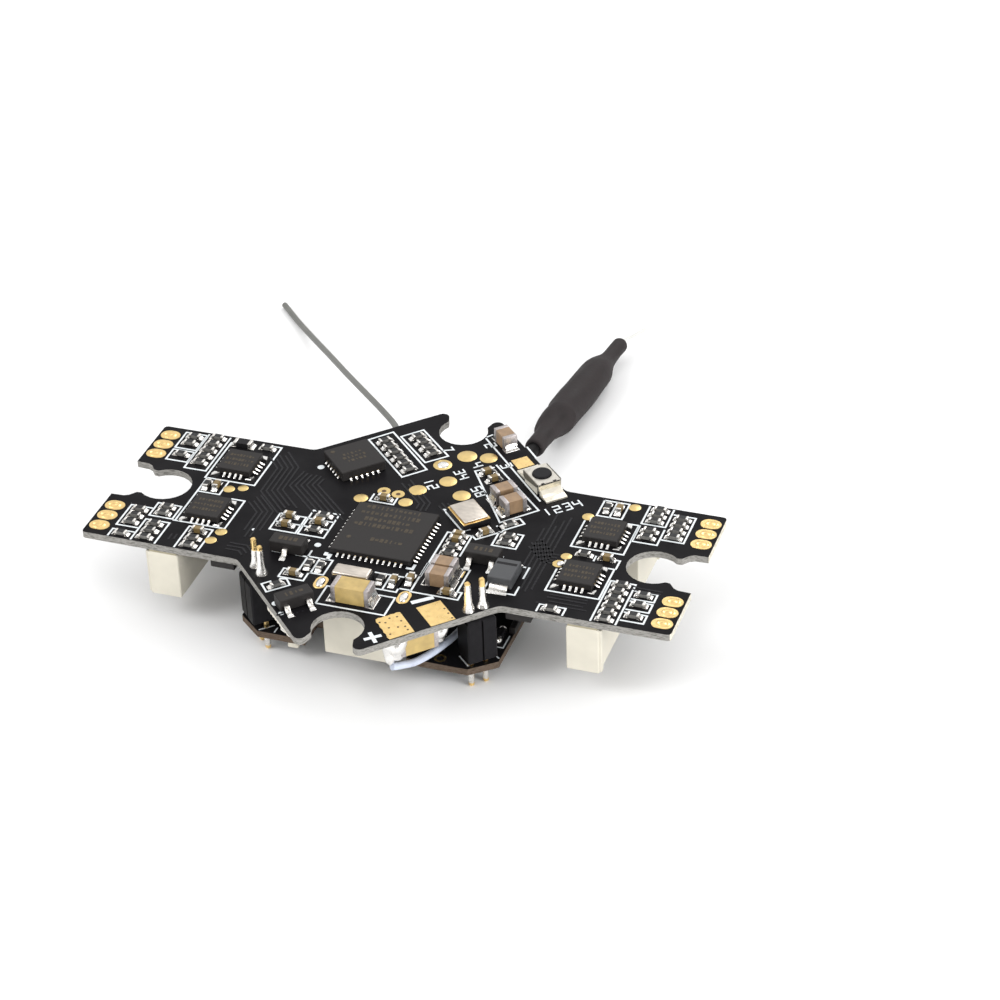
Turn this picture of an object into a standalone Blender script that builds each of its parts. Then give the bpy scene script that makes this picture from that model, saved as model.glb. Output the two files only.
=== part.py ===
"""Flight controller board of a palm-sized quadcopter, with its video transmitter board below.

Lengths are in millimetres and become metres in mm().  x runs along the motor arms, y from the
camera end (-y) to the tail (+y) and z up.  The origin lies under the middle of the board, and
the tips of the header pins stand on z = 0.
"""
import math

import bmesh
import bpy
from mathutils import Vector

MILLIMETRE = 0.001
GAP = 0.04                  # air left between pieces that touch
DIAGONAL = math.radians(45)  # the body of the board is turned by this much

# Stack, from the ground up
PIN_BELOW = 1.5             # header pin under the lower board
BOARD_THICK = 0.6
BOARD_SPACE = 4.7           # air between the two boards
PIN_ABOVE = 2.65            # header pin over the main board
LOWER_BOTTOM = PIN_BELOW
LOWER_TOP = LOWER_BOTTOM + BOARD_THICK
MAIN_BOTTOM = LOWER_TOP + BOARD_SPACE
MAIN_TOP = MAIN_BOTTOM + BOARD_THICK

# Main board outline
ARM_END_X = 25.2
BOARD_SEAMS = (-18.9, 18.9)   # between the arm ends, with their notches, and the middle
ARM_EDGE_Y = 8.42
ARM_ROOT_Y = 8.46           # the arm is a hair wider where it leaves the body
ARM_CORNER_RADIUS = 0.3
BODY_EDGE = 19.7            # |x| + |y| on the slanted edges
BODY_FILLET = 1.0           # where an arm meets a slanted edge
SIDE_NOTCH_X = 21.4
SIDE_NOTCH_RADIUS = 2.25
SIDE_THROAT_X = 22.85
SIDE_MOUTH_X = 23.9
SIDE_MOUTH_Y = 2.53
SIDE_MOUTH_END_Y = 2.58     # the mouth opens a little more towards the arm's end
END_NOTCH_Y = 14.8
END_NOTCH_RADIUS = 2.12
END_THROAT_Y = 15.95
HORN_TIP = (2.5, 16.5)      # middle of the round tip beside an end notch
HORN_RADIUS = 0.55

# Lower board outline
LOWER_HALF_X = 11.1
LOWER_HALF_Y = 10.5
LOWER_CHAMFER = (2.05, 1.7)
LOWER_SLOT_X = (-4.9, 3.85)  # sides of the slot that the camera plug passes through
LOWER_SLOT_DEPTH = 2.6

# Shield can under the lower board
SHIELD_PLACE = (0, 4.5)
SHIELD_SIZE = (12.0, 9.0, LOWER_BOTTOM - GAP)
SHIELD_SHEET = 0.2

# Headers between the boards
PIN_WIDTH = 0.42
PIN_POINT = 0.09            # bevel on a pin's edges and ends
PIN_HOLE_RADIUS = 0.32
PIN_PLACES = {"left": ((-8.56, -9.72), (-9.46, -8.82)), "right": ((9.06, -9.72), (9.96, -8.82))}
STRIP_SIZE = (2.54, 2.1, 3.95)
STRIP_PLACES = {"left": (-9.28, -9.27), "right": (9.55, -9.27)}
STRIP_GROOVE = 0.16         # groove down each long face, between the two contacts
SIDE_TURNS = {"left": -DIAGONAL, "right": DIAGONAL}

# Sockets under the main board
SOCKET_WIDTH = 2.7
SOCKET_HEIGHT = 4.4
SOCKET_WALL = 0.45
SOCKET_FLOOR = 1.1
SOCKET_SHOULDER = (0.22, 0.3)   # the top end is drawn in by this much over this height
SOCKET_EDGE = 0.08
MOTOR_SOCKET_LENGTH = 5.9
MOTOR_SOCKET_X = 18.0
CAMERA_SOCKET_LENGTH = 5.3
CAMERA_SOCKET_AT = (0.1, -10.55)

# Push button
BUTTON_AT = (9.1, 8.78)
BUTTON_BODY = (2.46, 2.06, 0.92)
BUTTON_CAVITY_RADIUS = 0.93
BUTTON_CAVITY_FLOOR = 0.25
COVER_SHEET = 0.13
COVER_SKIRT = 0.5
PLUNGER_RADIUS = 0.8
PLUNGER_FLANGE_RADIUS = 0.87
PLUNGER_FLANGE = 0.16
PLUNGER_STANDS_OUT = 0.18
PLUNGER_TRAVEL = 0.18
DOME_RADIUS = 0.82
DOME_SHEET = 0.07
CLEARANCE = 0.05            # round a moving piece
TERMINAL_SIZE = (1.3, 1.95, 0.3)
TERMINAL_TOE = 0.14         # height of a terminal's outer end

# Wires: diameters, and points that each route passes through
ROUTE_STEPS = 24            # fine steps between two such points
RECEIVER_WIRE = 0.56
RECEIVER_ROUTE = (
    (-4.6, 12.6, 6.15), (-5.7, 14.2, 6.15), (-6.9, 16.1, 6.05), (-9.2, 18.9, 5.5),
    (-12.2, 22.6, 4.5), (-15.8, 27.2, 3.1), (-19.4, 31.8, 1.8), (-22.8, 35.9, 0.8),
    (-25.8, 39.2, 0.35), (-28.4, 42.0, 0.29))
COAX = 1.13
COAX_ROUTE = (
    (0.6, 7.9, 3.1), (1.1, 9.8, 3.1), (1.9, 12.8, 3.0), (3.2, 16.6, 2.7), (3.975, 19.82, 2.425),
    (4.09, 21.31, 2.35), (4.475, 26.289, 2.101), (4.86, 31.269, 1.851), (5.244, 36.248, 1.602),
    (5.629, 41.227, 1.352), (5.722, 42.42, 1.292))
SLEEVE_BORE = 0.62
SLEEVE_START = (4.09, 21.31, 2.35)
SLEEVE_END = (5.71, 42.27, 1.3)
# Outside of the sleeve: distance from its start, and radius
SLEEVE_ROWS = (
    (0.0, 0.86), (0.2, 0.88), (2.7, 0.88), (3.4, 1.0), (4.4, 1.36), (5.6, 1.6), (14.0, 1.6),
    (15.0, 1.54), (16.2, 1.22), (17.4, 0.82), (18.4, 0.74), (20.85, 0.73), (21.04, 0.7))
ELEMENT = 0.3
ELEMENT_ROUTE = ((5.733, 42.56, 1.28), (5.86, 43.7, 1.05), (6.15, 45.3, 0.6), (6.6, 47.3, 0.22))
JUMPER_WIRE = 0.62
JUMPER_ROUTE = (
    (4.2, -14.3, 4.1), (4.45, -13.95, 3.95), (4.85, -13.35, 3.75), (5.4, -12.5, 3.5),
    (6.2, -10.9, 3.38), (6.8, -9.4, 3.4), (7.1, -8.2, 3.3), (7.1, -6.5, 2.9), (6.6, -4.8, 2.65),
    (6.0, -3.4, 2.6))


def mm(*lengths):
    """A vector, or one length, turned from millimetres into metres."""
    if len(lengths) == 1:
        return lengths[0] * MILLIMETRE
    return Vector(lengths) * MILLIMETRE


def clear_scene():
    for item in list(bpy.data.objects):
        bpy.data.objects.remove(item, do_unlink=True)


def collection(name):
    made = bpy.data.collections.new(name)
    bpy.context.scene.collection.children.link(made)
    return made


def material(name, colour, roughness, metallic=0.0):
    made = bpy.data.materials.new(name)
    made.use_nodes = True
    shader = made.node_tree.nodes["Principled BSDF"]
    shader.inputs["Base Color"].default_value = (*colour, 1.0)
    shader.inputs["Roughness"].default_value = roughness
    shader.inputs["Metallic"].default_value = metallic
    made.diffuse_color = (*colour, 1.0)
    return made


def place(name, mesh, coat, at=(0.0, 0.0, 0.0), turn=0.0):
    """An object for a mesh, with its place in millimetres and its turn about z."""
    item = bpy.data.objects.new(name, mesh)
    item.location = mm(*at)
    item.rotation_euler.z = turn
    if coat is None:
        item.hide_render = True
        item.display_type = "WIRE"
        CUTTERS.objects.link(item)
    else:
        mesh.materials.append(coat)
        PARTS.objects.link(item)
    return item


def box(name, size, at, coat, turn=0.0, edge=0.0, steps=1):
    """A box standing on at, its edges rounded by edge."""
    shape = bmesh.new()
    bmesh.ops.create_cube(shape, size=1.0)
    bmesh.ops.translate(shape, verts=shape.verts, vec=(0.0, 0.0, 0.5))
    bmesh.ops.scale(shape, verts=shape.verts, vec=mm(*size))
    mesh = bpy.data.meshes.new(name)
    shape.to_mesh(mesh)
    shape.free()
    item = place(name, mesh, coat, at, turn)
    if edge:
        bevel = item.modifiers.new("edges", "BEVEL")
        bevel.width = mm(edge)
        bevel.segments = steps
        bevel.limit_method = "ANGLE"
    return item


def rod(name, radius, height, at, coat, sides=24):
    """A round bar standing on at."""
    shape = bmesh.new()
    bmesh.ops.create_cone(shape, cap_ends=True, segments=sides, radius1=mm(radius),
                          radius2=mm(radius), depth=mm(height))
    bmesh.ops.translate(shape, verts=shape.verts, vec=(0.0, 0.0, mm(height) / 2))
    mesh = bpy.data.meshes.new(name)
    shape.to_mesh(mesh)
    shape.free()
    return place(name, mesh, coat, at)


def turned(name, profile, at, coat, steps=24):
    """A turned shape from a profile of (radius, height) points on its outer side, top first."""
    shape = bmesh.new()
    corners = [shape.verts.new((mm(radius), 0.0, mm(height))) for radius, height in profile]
    for first, second in zip(corners, corners[1:]):
        shape.edges.new((first, second))
    mesh = bpy.data.meshes.new(name)
    shape.to_mesh(mesh)
    shape.free()
    item = place(name, mesh, coat, at)
    screw = item.modifiers.new("turn", "SCREW")
    screw.steps = steps
    screw.render_steps = steps
    screw.use_merge_vertices = True
    screw.merge_threshold = mm(0.002)
    return item


def cut(item, tool):
    hole = item.modifiers.new("cut " + tool.name, "BOOLEAN")
    hole.operation = "DIFFERENCE"
    hole.solver = "EXACT"
    hole.object = tool


def arc(middle, radius, start, end, steps):
    """Points along a circle from the start angle to the end angle, in degrees, ends included."""
    points = []
    for step in range(steps + 1):
        angle = math.radians(start + (end - start) * step / steps)
        points.append((middle[0] + radius * math.cos(angle), middle[1] + radius * math.sin(angle)))
    return points


def flat_curve(name, points, thick):
    """A filled 2D curve through points, thick along z and centred on z = 0."""
    curve = bpy.data.curves.new(name, "CURVE")
    curve.dimensions = "2D"
    curve.fill_mode = "BOTH"
    curve.extrude = mm(thick) / 2
    spline = curve.splines.new("POLY")
    spline.points.add(len(points) - 1)
    for knot, point in zip(spline.points, points):
        knot.co = (*mm(*point), 0.0, 1.0)
    spline.use_cyclic_u = True
    return curve


def patch_faces(shape, seams):
    """Divide a plate's two flat sides at some x values, and triangulate each patch evenly."""
    for x in seams:
        everything = shape.verts[:] + shape.edges[:] + shape.faces[:]
        bmesh.ops.bisect_plane(shape, geom=everything, plane_co=(mm(x), 0, 0), plane_no=(1, 0, 0))
    limits = [-math.inf, *(mm(x) for x in seams), math.inf]
    for side in (-1, 1):
        for low, high in zip(limits, limits[1:]):
            patch = [face for face in shape.faces if face.normal.z * side > 0.9
                     and low < face.calc_center_median().x < high]
            bmesh.ops.dissolve_faces(shape, faces=patch)
    sides = [face for face in shape.faces if len(face.verts) > 4]
    bmesh.ops.triangulate(shape, faces=sides, ngon_method="BEAUTY")


def plate(name, points, thick, at, coat, seams=()):
    """A flat plate from its outline, made a mesh so that it can be cut."""
    guide = bpy.data.objects.new(name + " guide", flat_curve(name + " outline", points, thick))
    bpy.context.scene.collection.objects.link(guide)
    bpy.context.view_layer.update()
    evaluated = guide.evaluated_get(bpy.context.evaluated_depsgraph_get())
    mesh = bpy.data.meshes.new_from_object(evaluated)
    mesh.name = name
    mesh.materials.clear()
    bpy.data.objects.remove(guide, do_unlink=True)
    shape = bmesh.new()
    shape.from_mesh(mesh)
    bmesh.ops.remove_doubles(shape, verts=shape.verts, dist=mm(0.001))
    bmesh.ops.translate(shape, verts=shape.verts, vec=(0.0, 0.0, mm(thick) / 2))
    if seams:
        patch_faces(shape, seams)
    shape.to_mesh(mesh)
    shape.free()
    return place(name, mesh, coat, at)


def smooth_route(route, count):
    """Evenly spaced points on a Catmull-Rom curve through the route's points."""
    knots = [Vector(point) for point in route]
    knots = [2 * knots[0] - knots[1]] + knots + [2 * knots[-1] - knots[-2]]
    fine = []
    for index in range(1, len(knots) - 2):
        before, start, end, after = knots[index - 1:index + 3]
        for step in range(ROUTE_STEPS):
            t = step / ROUTE_STEPS
            fine.append(0.5 * (2 * start + (end - before) * t
                               + (2 * before - 5 * start + 4 * end - after) * t ** 2
                               + (3 * start - before - 3 * end + after) * t ** 3))
    fine.append(knots[-2])
    lengths = [0.0]
    for first, second in zip(fine, fine[1:]):
        lengths.append(lengths[-1] + (second - first).length)
    points = []
    index = 0
    for step in range(count):
        target = lengths[-1] * step / (count - 1)
        while index < len(fine) - 2 and lengths[index + 1] < target:
            index += 1
        span = lengths[index + 1] - lengths[index]
        points.append(fine[index].lerp(fine[index + 1], (target - lengths[index]) / span))
    return points


def wire(name, route, diameter, count, coat):
    """A round wire along a smooth route."""
    curve = bpy.data.curves.new(name, "CURVE")
    curve.dimensions = "3D"
    curve.bevel_depth = mm(diameter) / 2
    curve.bevel_resolution = 2
    curve.use_fill_caps = True
    spline = curve.splines.new("POLY")
    points = smooth_route(route, count)
    spline.points.add(count - 1)
    for knot, point in zip(spline.points, points):
        knot.co = (*mm(*point), 1.0)
    curve.materials.append(coat)
    item = bpy.data.objects.new(name, curve)
    PARTS.objects.link(item)
    return item


def side_notch_corner():
    """The +x +y quarter of a side notch, from the middle of its circle's floor to the arm end."""
    throat = SIDE_THROAT_X - SIDE_NOTCH_X
    throat_angle = math.degrees(math.acos(throat / SIDE_NOTCH_RADIUS))
    points = arc((SIDE_NOTCH_X, 0.0), SIDE_NOTCH_RADIUS, 180, throat_angle, 9)
    corner = 0.2
    points.append((SIDE_THROAT_X + 2 * corner, points[-1][1] + corner / 4))
    points.append((SIDE_MOUTH_X - corner, SIDE_MOUTH_Y - corner))
    points.append((SIDE_MOUTH_X + corner, SIDE_MOUTH_Y))
    return points


def end_notch_corner():
    """The +x +y quarter of an end notch, from the horn's tip to the middle of its floor."""
    throat = END_THROAT_Y - END_NOTCH_Y
    throat_angle = math.degrees(math.asin(throat / END_NOTCH_RADIUS))
    return arc(HORN_TIP, HORN_RADIUS, 45, 170, 6) + arc(
        (0.0, END_NOTCH_Y), END_NOTCH_RADIUS, throat_angle, -90, 9)


def main_board_quarter():
    """Outline of the +x +y quarter, from the side notch round to the end notch."""
    end_corner = (ARM_END_X - ARM_CORNER_RADIUS, ARM_EDGE_Y - ARM_CORNER_RADIUS)
    shoulder_x = BODY_EDGE - ARM_ROOT_Y + BODY_FILLET * math.tan(DIAGONAL / 2)
    points = side_notch_corner()
    points.append((ARM_END_X, SIDE_MOUTH_END_Y))
    points += arc(end_corner, ARM_CORNER_RADIUS, 0, 90, 2)
    points += arc((shoulder_x, ARM_ROOT_Y + BODY_FILLET), BODY_FILLET, 270, 225, 3)
    return points + end_notch_corner()


def four_quarters(quarter):
    """A closed outline, counterclockwise, from its +x +y quarter."""
    left = [(-x, y) for x, y in reversed(quarter)]
    upper = quarter + left
    lower = [(-x, -y) for x, y in upper]
    points = []
    for point in upper + lower:
        if not points or math.dist(point, points[-1]) > 0.01:
            points.append(point)
    if math.dist(points[0], points[-1]) < 0.01:
        points.pop()
    return points


def lower_board_outline():
    x, y = LOWER_HALF_X, LOWER_HALF_Y
    side_y, end_x = y - LOWER_CHAMFER[1], x - LOWER_CHAMFER[0]
    slot_left, slot_right = LOWER_SLOT_X
    slot_y = -y + LOWER_SLOT_DEPTH
    return [(x, -side_y), (x, side_y), (end_x, y), (-end_x, y), (-x, side_y), (-x, -side_y),
            (-end_x, -y), (slot_left, -y), (slot_left, slot_y), (slot_right, slot_y),
            (slot_right, -y), (end_x, -y)]


def header_pins():
    """Places of the four header pins and the turn that lines each up with its board edge."""
    for side, places in PIN_PLACES.items():
        for number, at in enumerate(places, 1):
            yield f"header_pin_{side}_{number}", at, SIDE_TURNS[side]


def boards():
    main = plate("main_board", four_quarters(main_board_quarter()), BOARD_THICK,
                 (0, 0, MAIN_BOTTOM), BLACK_BOARD, BOARD_SEAMS)
    lower = plate("transmitter_board", lower_board_outline(), BOARD_THICK,
                  (0, 0, LOWER_BOTTOM), BLACK_BOARD)
    for name, (x, y), _ in header_pins():
        hole = rod(name + " hole", PIN_HOLE_RADIUS, 2 * MAIN_TOP, (x, y, 0), None, 12)
        cut(main, hole)
        cut(lower, hole)


def headers():
    pin_length = MAIN_TOP + PIN_ABOVE
    for name, (x, y), turn in header_pins():
        pin = box(name, (PIN_WIDTH, PIN_WIDTH, pin_length), (x, y, 0), GOLD, turn, PIN_POINT)
        pin.modifiers["edges"].limit_method = "NONE"
    for side, middle in STRIP_PLACES.items():
        at = (*middle, MAIN_BOTTOM - GAP - STRIP_SIZE[2])
        turn = SIDE_TURNS[side]
        strip = box(f"header_strip_{side}", STRIP_SIZE, at, BLACK_PLASTIC, turn, 0.12)
        for face in (-1, 1):
            reach = face * STRIP_SIZE[1] / 2
            groove_at = (at[0] - reach * math.sin(turn), at[1] + reach * math.cos(turn), 0)
            groove = (STRIP_GROOVE, 2 * STRIP_GROOVE, MAIN_TOP)
            cut(strip, box(f"groove {side} {face}", groove, groove_at, None, turn))
        for name, (x, y), turn in header_pins():
            if side in name:
                bore = PIN_WIDTH + 2 * GAP
                tool = box(name + " bore", (bore, bore, MAIN_TOP), (x, y, LOWER_TOP), None, turn)
                cut(strip, tool)


def top_chips():
    """Chips on the upper face: name, size, place and turn."""
    chips = (
        ("processor_chip", (7.0, 7.0, 0.52), (-0.86, -2.02), 0.0),
        ("motor_driver_front_left", (3.0, 3.0, 0.62), (-16.25, -2.75), 0.0),
        ("motor_driver_front_right", (3.0, 3.0, 0.62), (16.15, -3.15), 0.0),
        ("motor_driver_back_left", (3.0, 3.0, 0.62), (-16.4, 4.3), 0.0),
        ("motor_driver_back_right", (3.0, 3.0, 0.62), (16.3, 3.2), 0.0),
        ("motion_sensor_chip", (4.0, 4.0, 0.9), (-7.1, 7.25), DIAGONAL),
        ("regulator_left", (2.9, 1.35, 1.05), (-7.7, -6.0), 0.0),
        ("regulator_right", (2.9, 1.35, 1.05), (8.0, -2.95), 0.0),
        ("transistor_front", (2.9, 1.35, 1.05), (-4.45, -12.8), DIAGONAL),
        ("power_diode", (2.0, 2.7, 1.0), (10.45, -4.95), 0.0))
    for name, size, (x, y), turn in chips:
        box(name, size, (x, y, MAIN_TOP + GAP), CHIP_PLASTIC, turn, 0.06)


def crystals():
    top = MAIN_TOP + GAP
    box("crystal_main", (3.2, 2.5, 0.72), (4.85, 2.45, top), STEEL, -DIAGONAL, 0.08)
    box("crystal_clock", (3.2, 1.5, 0.9), (-1.2, -8.45, top), STEEL, 0.0, 0.08)


def capacitors():
    """Large capacitors: name, size, place, turn and material."""
    top = MAIN_TOP + GAP
    flip = -DIAGONAL
    large = (2.0, 1.25, 1.25)
    parts = (
        ("capacitor_input_top", (3.2, 1.65, 1.5), (-0.15, -10.95, top), 0.0, TAN_CERAMIC),
        ("capacitor_core_1", large, (5.6, -5.5, top), 0.0, BROWN_CERAMIC),
        ("capacitor_core_2", large, (5.65, -6.95, top), 0.0, BROWN_CERAMIC),
        ("capacitor_video_1", large, (6.7, 5.95, top), DIAGONAL, BROWN_CERAMIC),
        ("capacitor_video_2", large, (7.95, 4.6, top), DIAGONAL, BROWN_CERAMIC),
        ("capacitor_tail", large, (4.15, 13.9, top), flip, BROWN_CERAMIC),
        ("capacitor_input_below", (3.2, 1.6, 1.3), (5.7, -12.75, MAIN_BOTTOM - GAP - 1.3),
         DIAGONAL, TAN_CERAMIC))
    for name, size, at, turn, coat in parts:
        box(name, size, at, coat, turn, 0.1, 2)


def button():
    """Push button: plastic base, snap dome, plunger, sheet cover and two solder terminals."""
    x, y = BUTTON_AT
    turn = -DIAGONAL
    length, width, height = BUTTON_BODY
    foot = MAIN_TOP + GAP
    base = box("button_base", BUTTON_BODY, (x, y, foot), GREY_PLASTIC, turn, 0.12)
    floor = foot + BUTTON_CAVITY_FLOOR
    cut(base, rod("button cavity", BUTTON_CAVITY_RADIUS, height, (x, y, floor), None))

    cover_top = foot + height + GAP + COVER_SHEET
    cover_size = (length + 2 * (COVER_SHEET + GAP), width + 0.02, COVER_SHEET + COVER_SKIRT)
    cover_foot = cover_top - cover_size[2]
    cover = box("button_cover", cover_size, (x, y, cover_foot), STEEL, turn, 0.05)
    inner = (length + 2 * GAP, width + 2, cover_size[2])
    inner_foot = cover_foot - COVER_SHEET
    cut(cover, box("button cover inside", inner, (x, y, inner_foot), None, turn))
    hole = PLUNGER_RADIUS + CLEARANCE
    cut(cover, rod("button cover hole", hole, 2, (x, y, cover_foot), None))

    flange_top = foot + height + GAP - CLEARANCE
    flange_foot = flange_top - PLUNGER_FLANGE
    stem = cover_top + PLUNGER_STANDS_OUT - flange_foot
    rim = 0.07
    profile = ((0.0, stem), (PLUNGER_RADIUS - rim, stem), (PLUNGER_RADIUS, stem - rim),
               (PLUNGER_RADIUS, PLUNGER_FLANGE), (PLUNGER_FLANGE_RADIUS, PLUNGER_FLANGE),
               (PLUNGER_FLANGE_RADIUS, 0.0), (0.0, 0.0))
    turned("button_plunger", profile, (x, y, flange_foot), BLACK_PLASTIC)

    dome_foot = floor + GAP / 2
    rise = flange_foot - PLUNGER_TRAVEL - CLEARANCE - DOME_SHEET - dome_foot
    outer = [(DOME_RADIUS * math.sin(math.radians(angle)),
              rise * math.cos(math.radians(angle)) + DOME_SHEET) for angle in range(0, 91, 15)]
    inner = [((DOME_RADIUS - DOME_SHEET) / DOME_RADIUS * radius, max(height - DOME_SHEET, 0.0))
             for radius, height in reversed(outer)]
    dome = outer + [(DOME_RADIUS, 0.0)] + inner
    turned("button_dome", dome, (x, y, dome_foot), STEEL)

    reach = length / 2 + COVER_SHEET + 2 * GAP + TERMINAL_SIZE[0] / 2
    for name, sign in (("button_terminal_front", 1), ("button_terminal_back", -1)):
        tab_x = x + sign * reach * math.cos(turn)
        tab_y = y + sign * reach * math.sin(turn)
        tab = box(name, TERMINAL_SIZE, (tab_x, tab_y, foot), TIN, turn)
        shape = bmesh.new()
        shape.from_mesh(tab.data)
        for corner in shape.verts:
            if corner.co.z > mm(TERMINAL_TOE) and corner.co.x * sign > 0:
                corner.co.z = mm(TERMINAL_TOE)
        shape.to_mesh(tab.data)
        shape.free()


def socket(name, length, at, turn):
    """A plug socket that hangs from the main board and opens downwards."""
    drawn_in, shoulder = SOCKET_SHOULDER
    shape = bmesh.new()
    levels = ((0.0, 0.0), (SOCKET_HEIGHT - shoulder, 0.0), (SOCKET_HEIGHT, drawn_in))
    rings = []
    for height, inset in levels:
        x, y = length / 2 - inset, SOCKET_WIDTH / 2 - inset
        rings.append([shape.verts.new(mm(*corner, height))
                      for corner in ((x, y), (-x, y), (-x, -y), (x, -y))])
    shape.faces.new(rings[0][::-1])
    shape.faces.new(rings[-1])
    for lower, upper in zip(rings, rings[1:]):
        for k in range(4):
            shape.faces.new((lower[k - 1], lower[k], upper[k], upper[k - 1]))
    mesh = bpy.data.meshes.new(name)
    shape.to_mesh(mesh)
    shape.free()
    body = place(name, mesh, CREAM_PLASTIC, at, turn)
    body.modifiers.new("edges", "BEVEL").width = mm(SOCKET_EDGE)
    room = (length - 2 * SOCKET_WALL, SOCKET_WIDTH - 2 * SOCKET_WALL,
            SOCKET_HEIGHT - SOCKET_FLOOR + 1)
    cut(body, box(name + " room", room, (at[0], at[1], at[2] - 1), None, turn))
    return body


def sockets():
    foot = MAIN_BOTTOM - GAP - SOCKET_HEIGHT
    y = ARM_EDGE_Y - MOTOR_SOCKET_LENGTH / 2
    for row, row_sign in (("front", -1), ("back", 1)):
        for side, side_sign in (("left", -1), ("right", 1)):
            at = (side_sign * MOTOR_SOCKET_X, row_sign * y, foot)
            socket(f"motor_socket_{row}_{side}", MOTOR_SOCKET_LENGTH, at, math.pi / 2)
    socket("camera_socket", CAMERA_SOCKET_LENGTH, (*CAMERA_SOCKET_AT, foot), 0.0)


def usb_socket():
    """Programming socket under the slanted tail edge, open outwards."""
    length, width, height, sheet = 5.0, 7.5, 2.5, 0.3
    mouth = Vector((6.75, BODY_EDGE + 0.3 - 6.75))
    outwards = Vector((math.cos(DIAGONAL), math.sin(DIAGONAL)))
    middle = mouth - outwards * length / 2
    foot = MAIN_BOTTOM - GAP - height
    shell = box("usb_socket", (length, width, height), (*middle, foot), STEEL, DIAGONAL, 0.35, 2)
    room_middle = middle + outwards
    room = (length, width - 2 * sheet, height - 2 * sheet)
    cut(shell, box("usb room", room, (*room_middle, foot + sheet), None, DIAGONAL))


def switch_transistors():
    """Three power transistor packages under each motor arm."""
    size = (2.1, 2.1, 0.65)
    spots = ((12.68, 7.3), (12.68, 4.6), (21.4, 6.2))
    foot = MAIN_BOTTOM - GAP - size[2]
    for row, row_sign in (("front", -1), ("back", 1)):
        for side, side_sign in (("left", -1), ("right", 1)):
            for number, (x, y) in enumerate(spots, 1):
                name = f"power_transistor_{row}_{side}_{number}"
                box(name, size, (side_sign * x, row_sign * y, foot), CHIP_PLASTIC, 0.0, 0.05)


def hidden_chips():
    """Chips between the boards, and the transmitter chip under its shield can."""
    hang = MAIN_BOTTOM - GAP
    receiver = (4.0, 4.0, 0.85)
    display = (9.7, 4.4, 1.0)
    transmitter = (6.0, 6.0, 0.85)
    box("receiver_chip", receiver, (-5.2, 8.6, hang - receiver[2]), CHIP_PLASTIC, DIAGONAL, 0.05)
    box("display_chip", display, (0, -2.0, hang - display[2]), CHIP_PLASTIC, 0.0, 0.05)
    x, y = SHIELD_PLACE
    box("transmitter_chip", transmitter, (x, y, LOWER_BOTTOM - GAP - transmitter[2]),
        CHIP_PLASTIC, 0.0, 0.05)
    length, width, height = SHIELD_SIZE
    can = box("shield_can", SHIELD_SIZE, (x, y, 0), STEEL, 0.0, 0.25, 2)
    room = (length - 2 * SHIELD_SHEET, width - 2 * SHIELD_SHEET, height)
    cut(can, box("shield room", room, (x, y, SHIELD_SHEET), None))


def antenna_sleeve():
    """Shrunk sleeve round the outer part of the coax, to its tip: a turned tube with drawn-in ends."""
    start, end = Vector(SLEEVE_START), Vector(SLEEVE_END)
    length = (end - start).length
    inside = [(SLEEVE_BORE, 0.0), (SLEEVE_BORE, length)]
    profile = inside[1:] + [(radius, along) for along, radius in reversed(SLEEVE_ROWS)] + inside
    sleeve = turned("antenna_sleeve", profile, SLEEVE_START, HEAT_SHRINK, 16)
    sleeve.rotation_mode = "QUATERNION"
    sleeve.rotation_quaternion = (end - start).to_track_quat("Z", "Y")


def wires():
    wire("receiver_antenna", RECEIVER_ROUTE, RECEIVER_WIRE, 26, GREY_JACKET)
    wire("video_antenna_coax", COAX_ROUTE, COAX, 16, HEAT_SHRINK)
    wire("video_antenna_element", ELEMENT_ROUTE, ELEMENT, 6, GREY_JACKET)
    wire("power_jumper_wire", JUMPER_ROUTE, JUMPER_WIRE, 14, CLEAR_JACKET)


clear_scene()
PARTS = collection("flight_controller_board")
CUTTERS = collection("cutters")

BLACK_BOARD = material("black board", (0.02, 0.02, 0.022), 0.35)
CHIP_PLASTIC = material("chip plastic", (0.045, 0.045, 0.048), 0.55)
BLACK_PLASTIC = material("black plastic", (0.03, 0.03, 0.032), 0.45)
GREY_PLASTIC = material("grey plastic", (0.11, 0.11, 0.1), 0.5)
CREAM_PLASTIC = material("cream plastic", (0.76, 0.72, 0.58), 0.45)
TAN_CERAMIC = material("tan ceramic", (0.55, 0.36, 0.12), 0.4)
BROWN_CERAMIC = material("brown ceramic", (0.33, 0.2, 0.11), 0.4)
STEEL = material("steel", (0.7, 0.67, 0.62), 0.32, 1.0)
TIN = material("tin", (0.82, 0.8, 0.75), 0.25, 1.0)
GOLD = material("gold", (0.86, 0.62, 0.25), 0.28, 1.0)
HEAT_SHRINK = material("heat shrink", (0.035, 0.031, 0.032), 0.6)
GREY_JACKET = material("grey jacket", (0.2, 0.2, 0.2), 0.55)
CLEAR_JACKET = material("clear jacket", (0.75, 0.78, 0.85), 0.3)

boards()
headers()
top_chips()
crystals()
capacitors()
button()
sockets()
usb_socket()
switch_transistors()
hidden_chips()
antenna_sleeve()
wires()
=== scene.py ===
"""Looks of a palm-sized flight controller board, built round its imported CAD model.

Lengths in this script are in millimetres, in the CAD's frame, until Piece.build() and the camera
turn them into metres.  x runs along the motor arms, +y to the tail, and z = 0 is the ground.
"""
import math
import random

import bmesh
import bpy
from mathutils import Matrix, Vector


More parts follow.
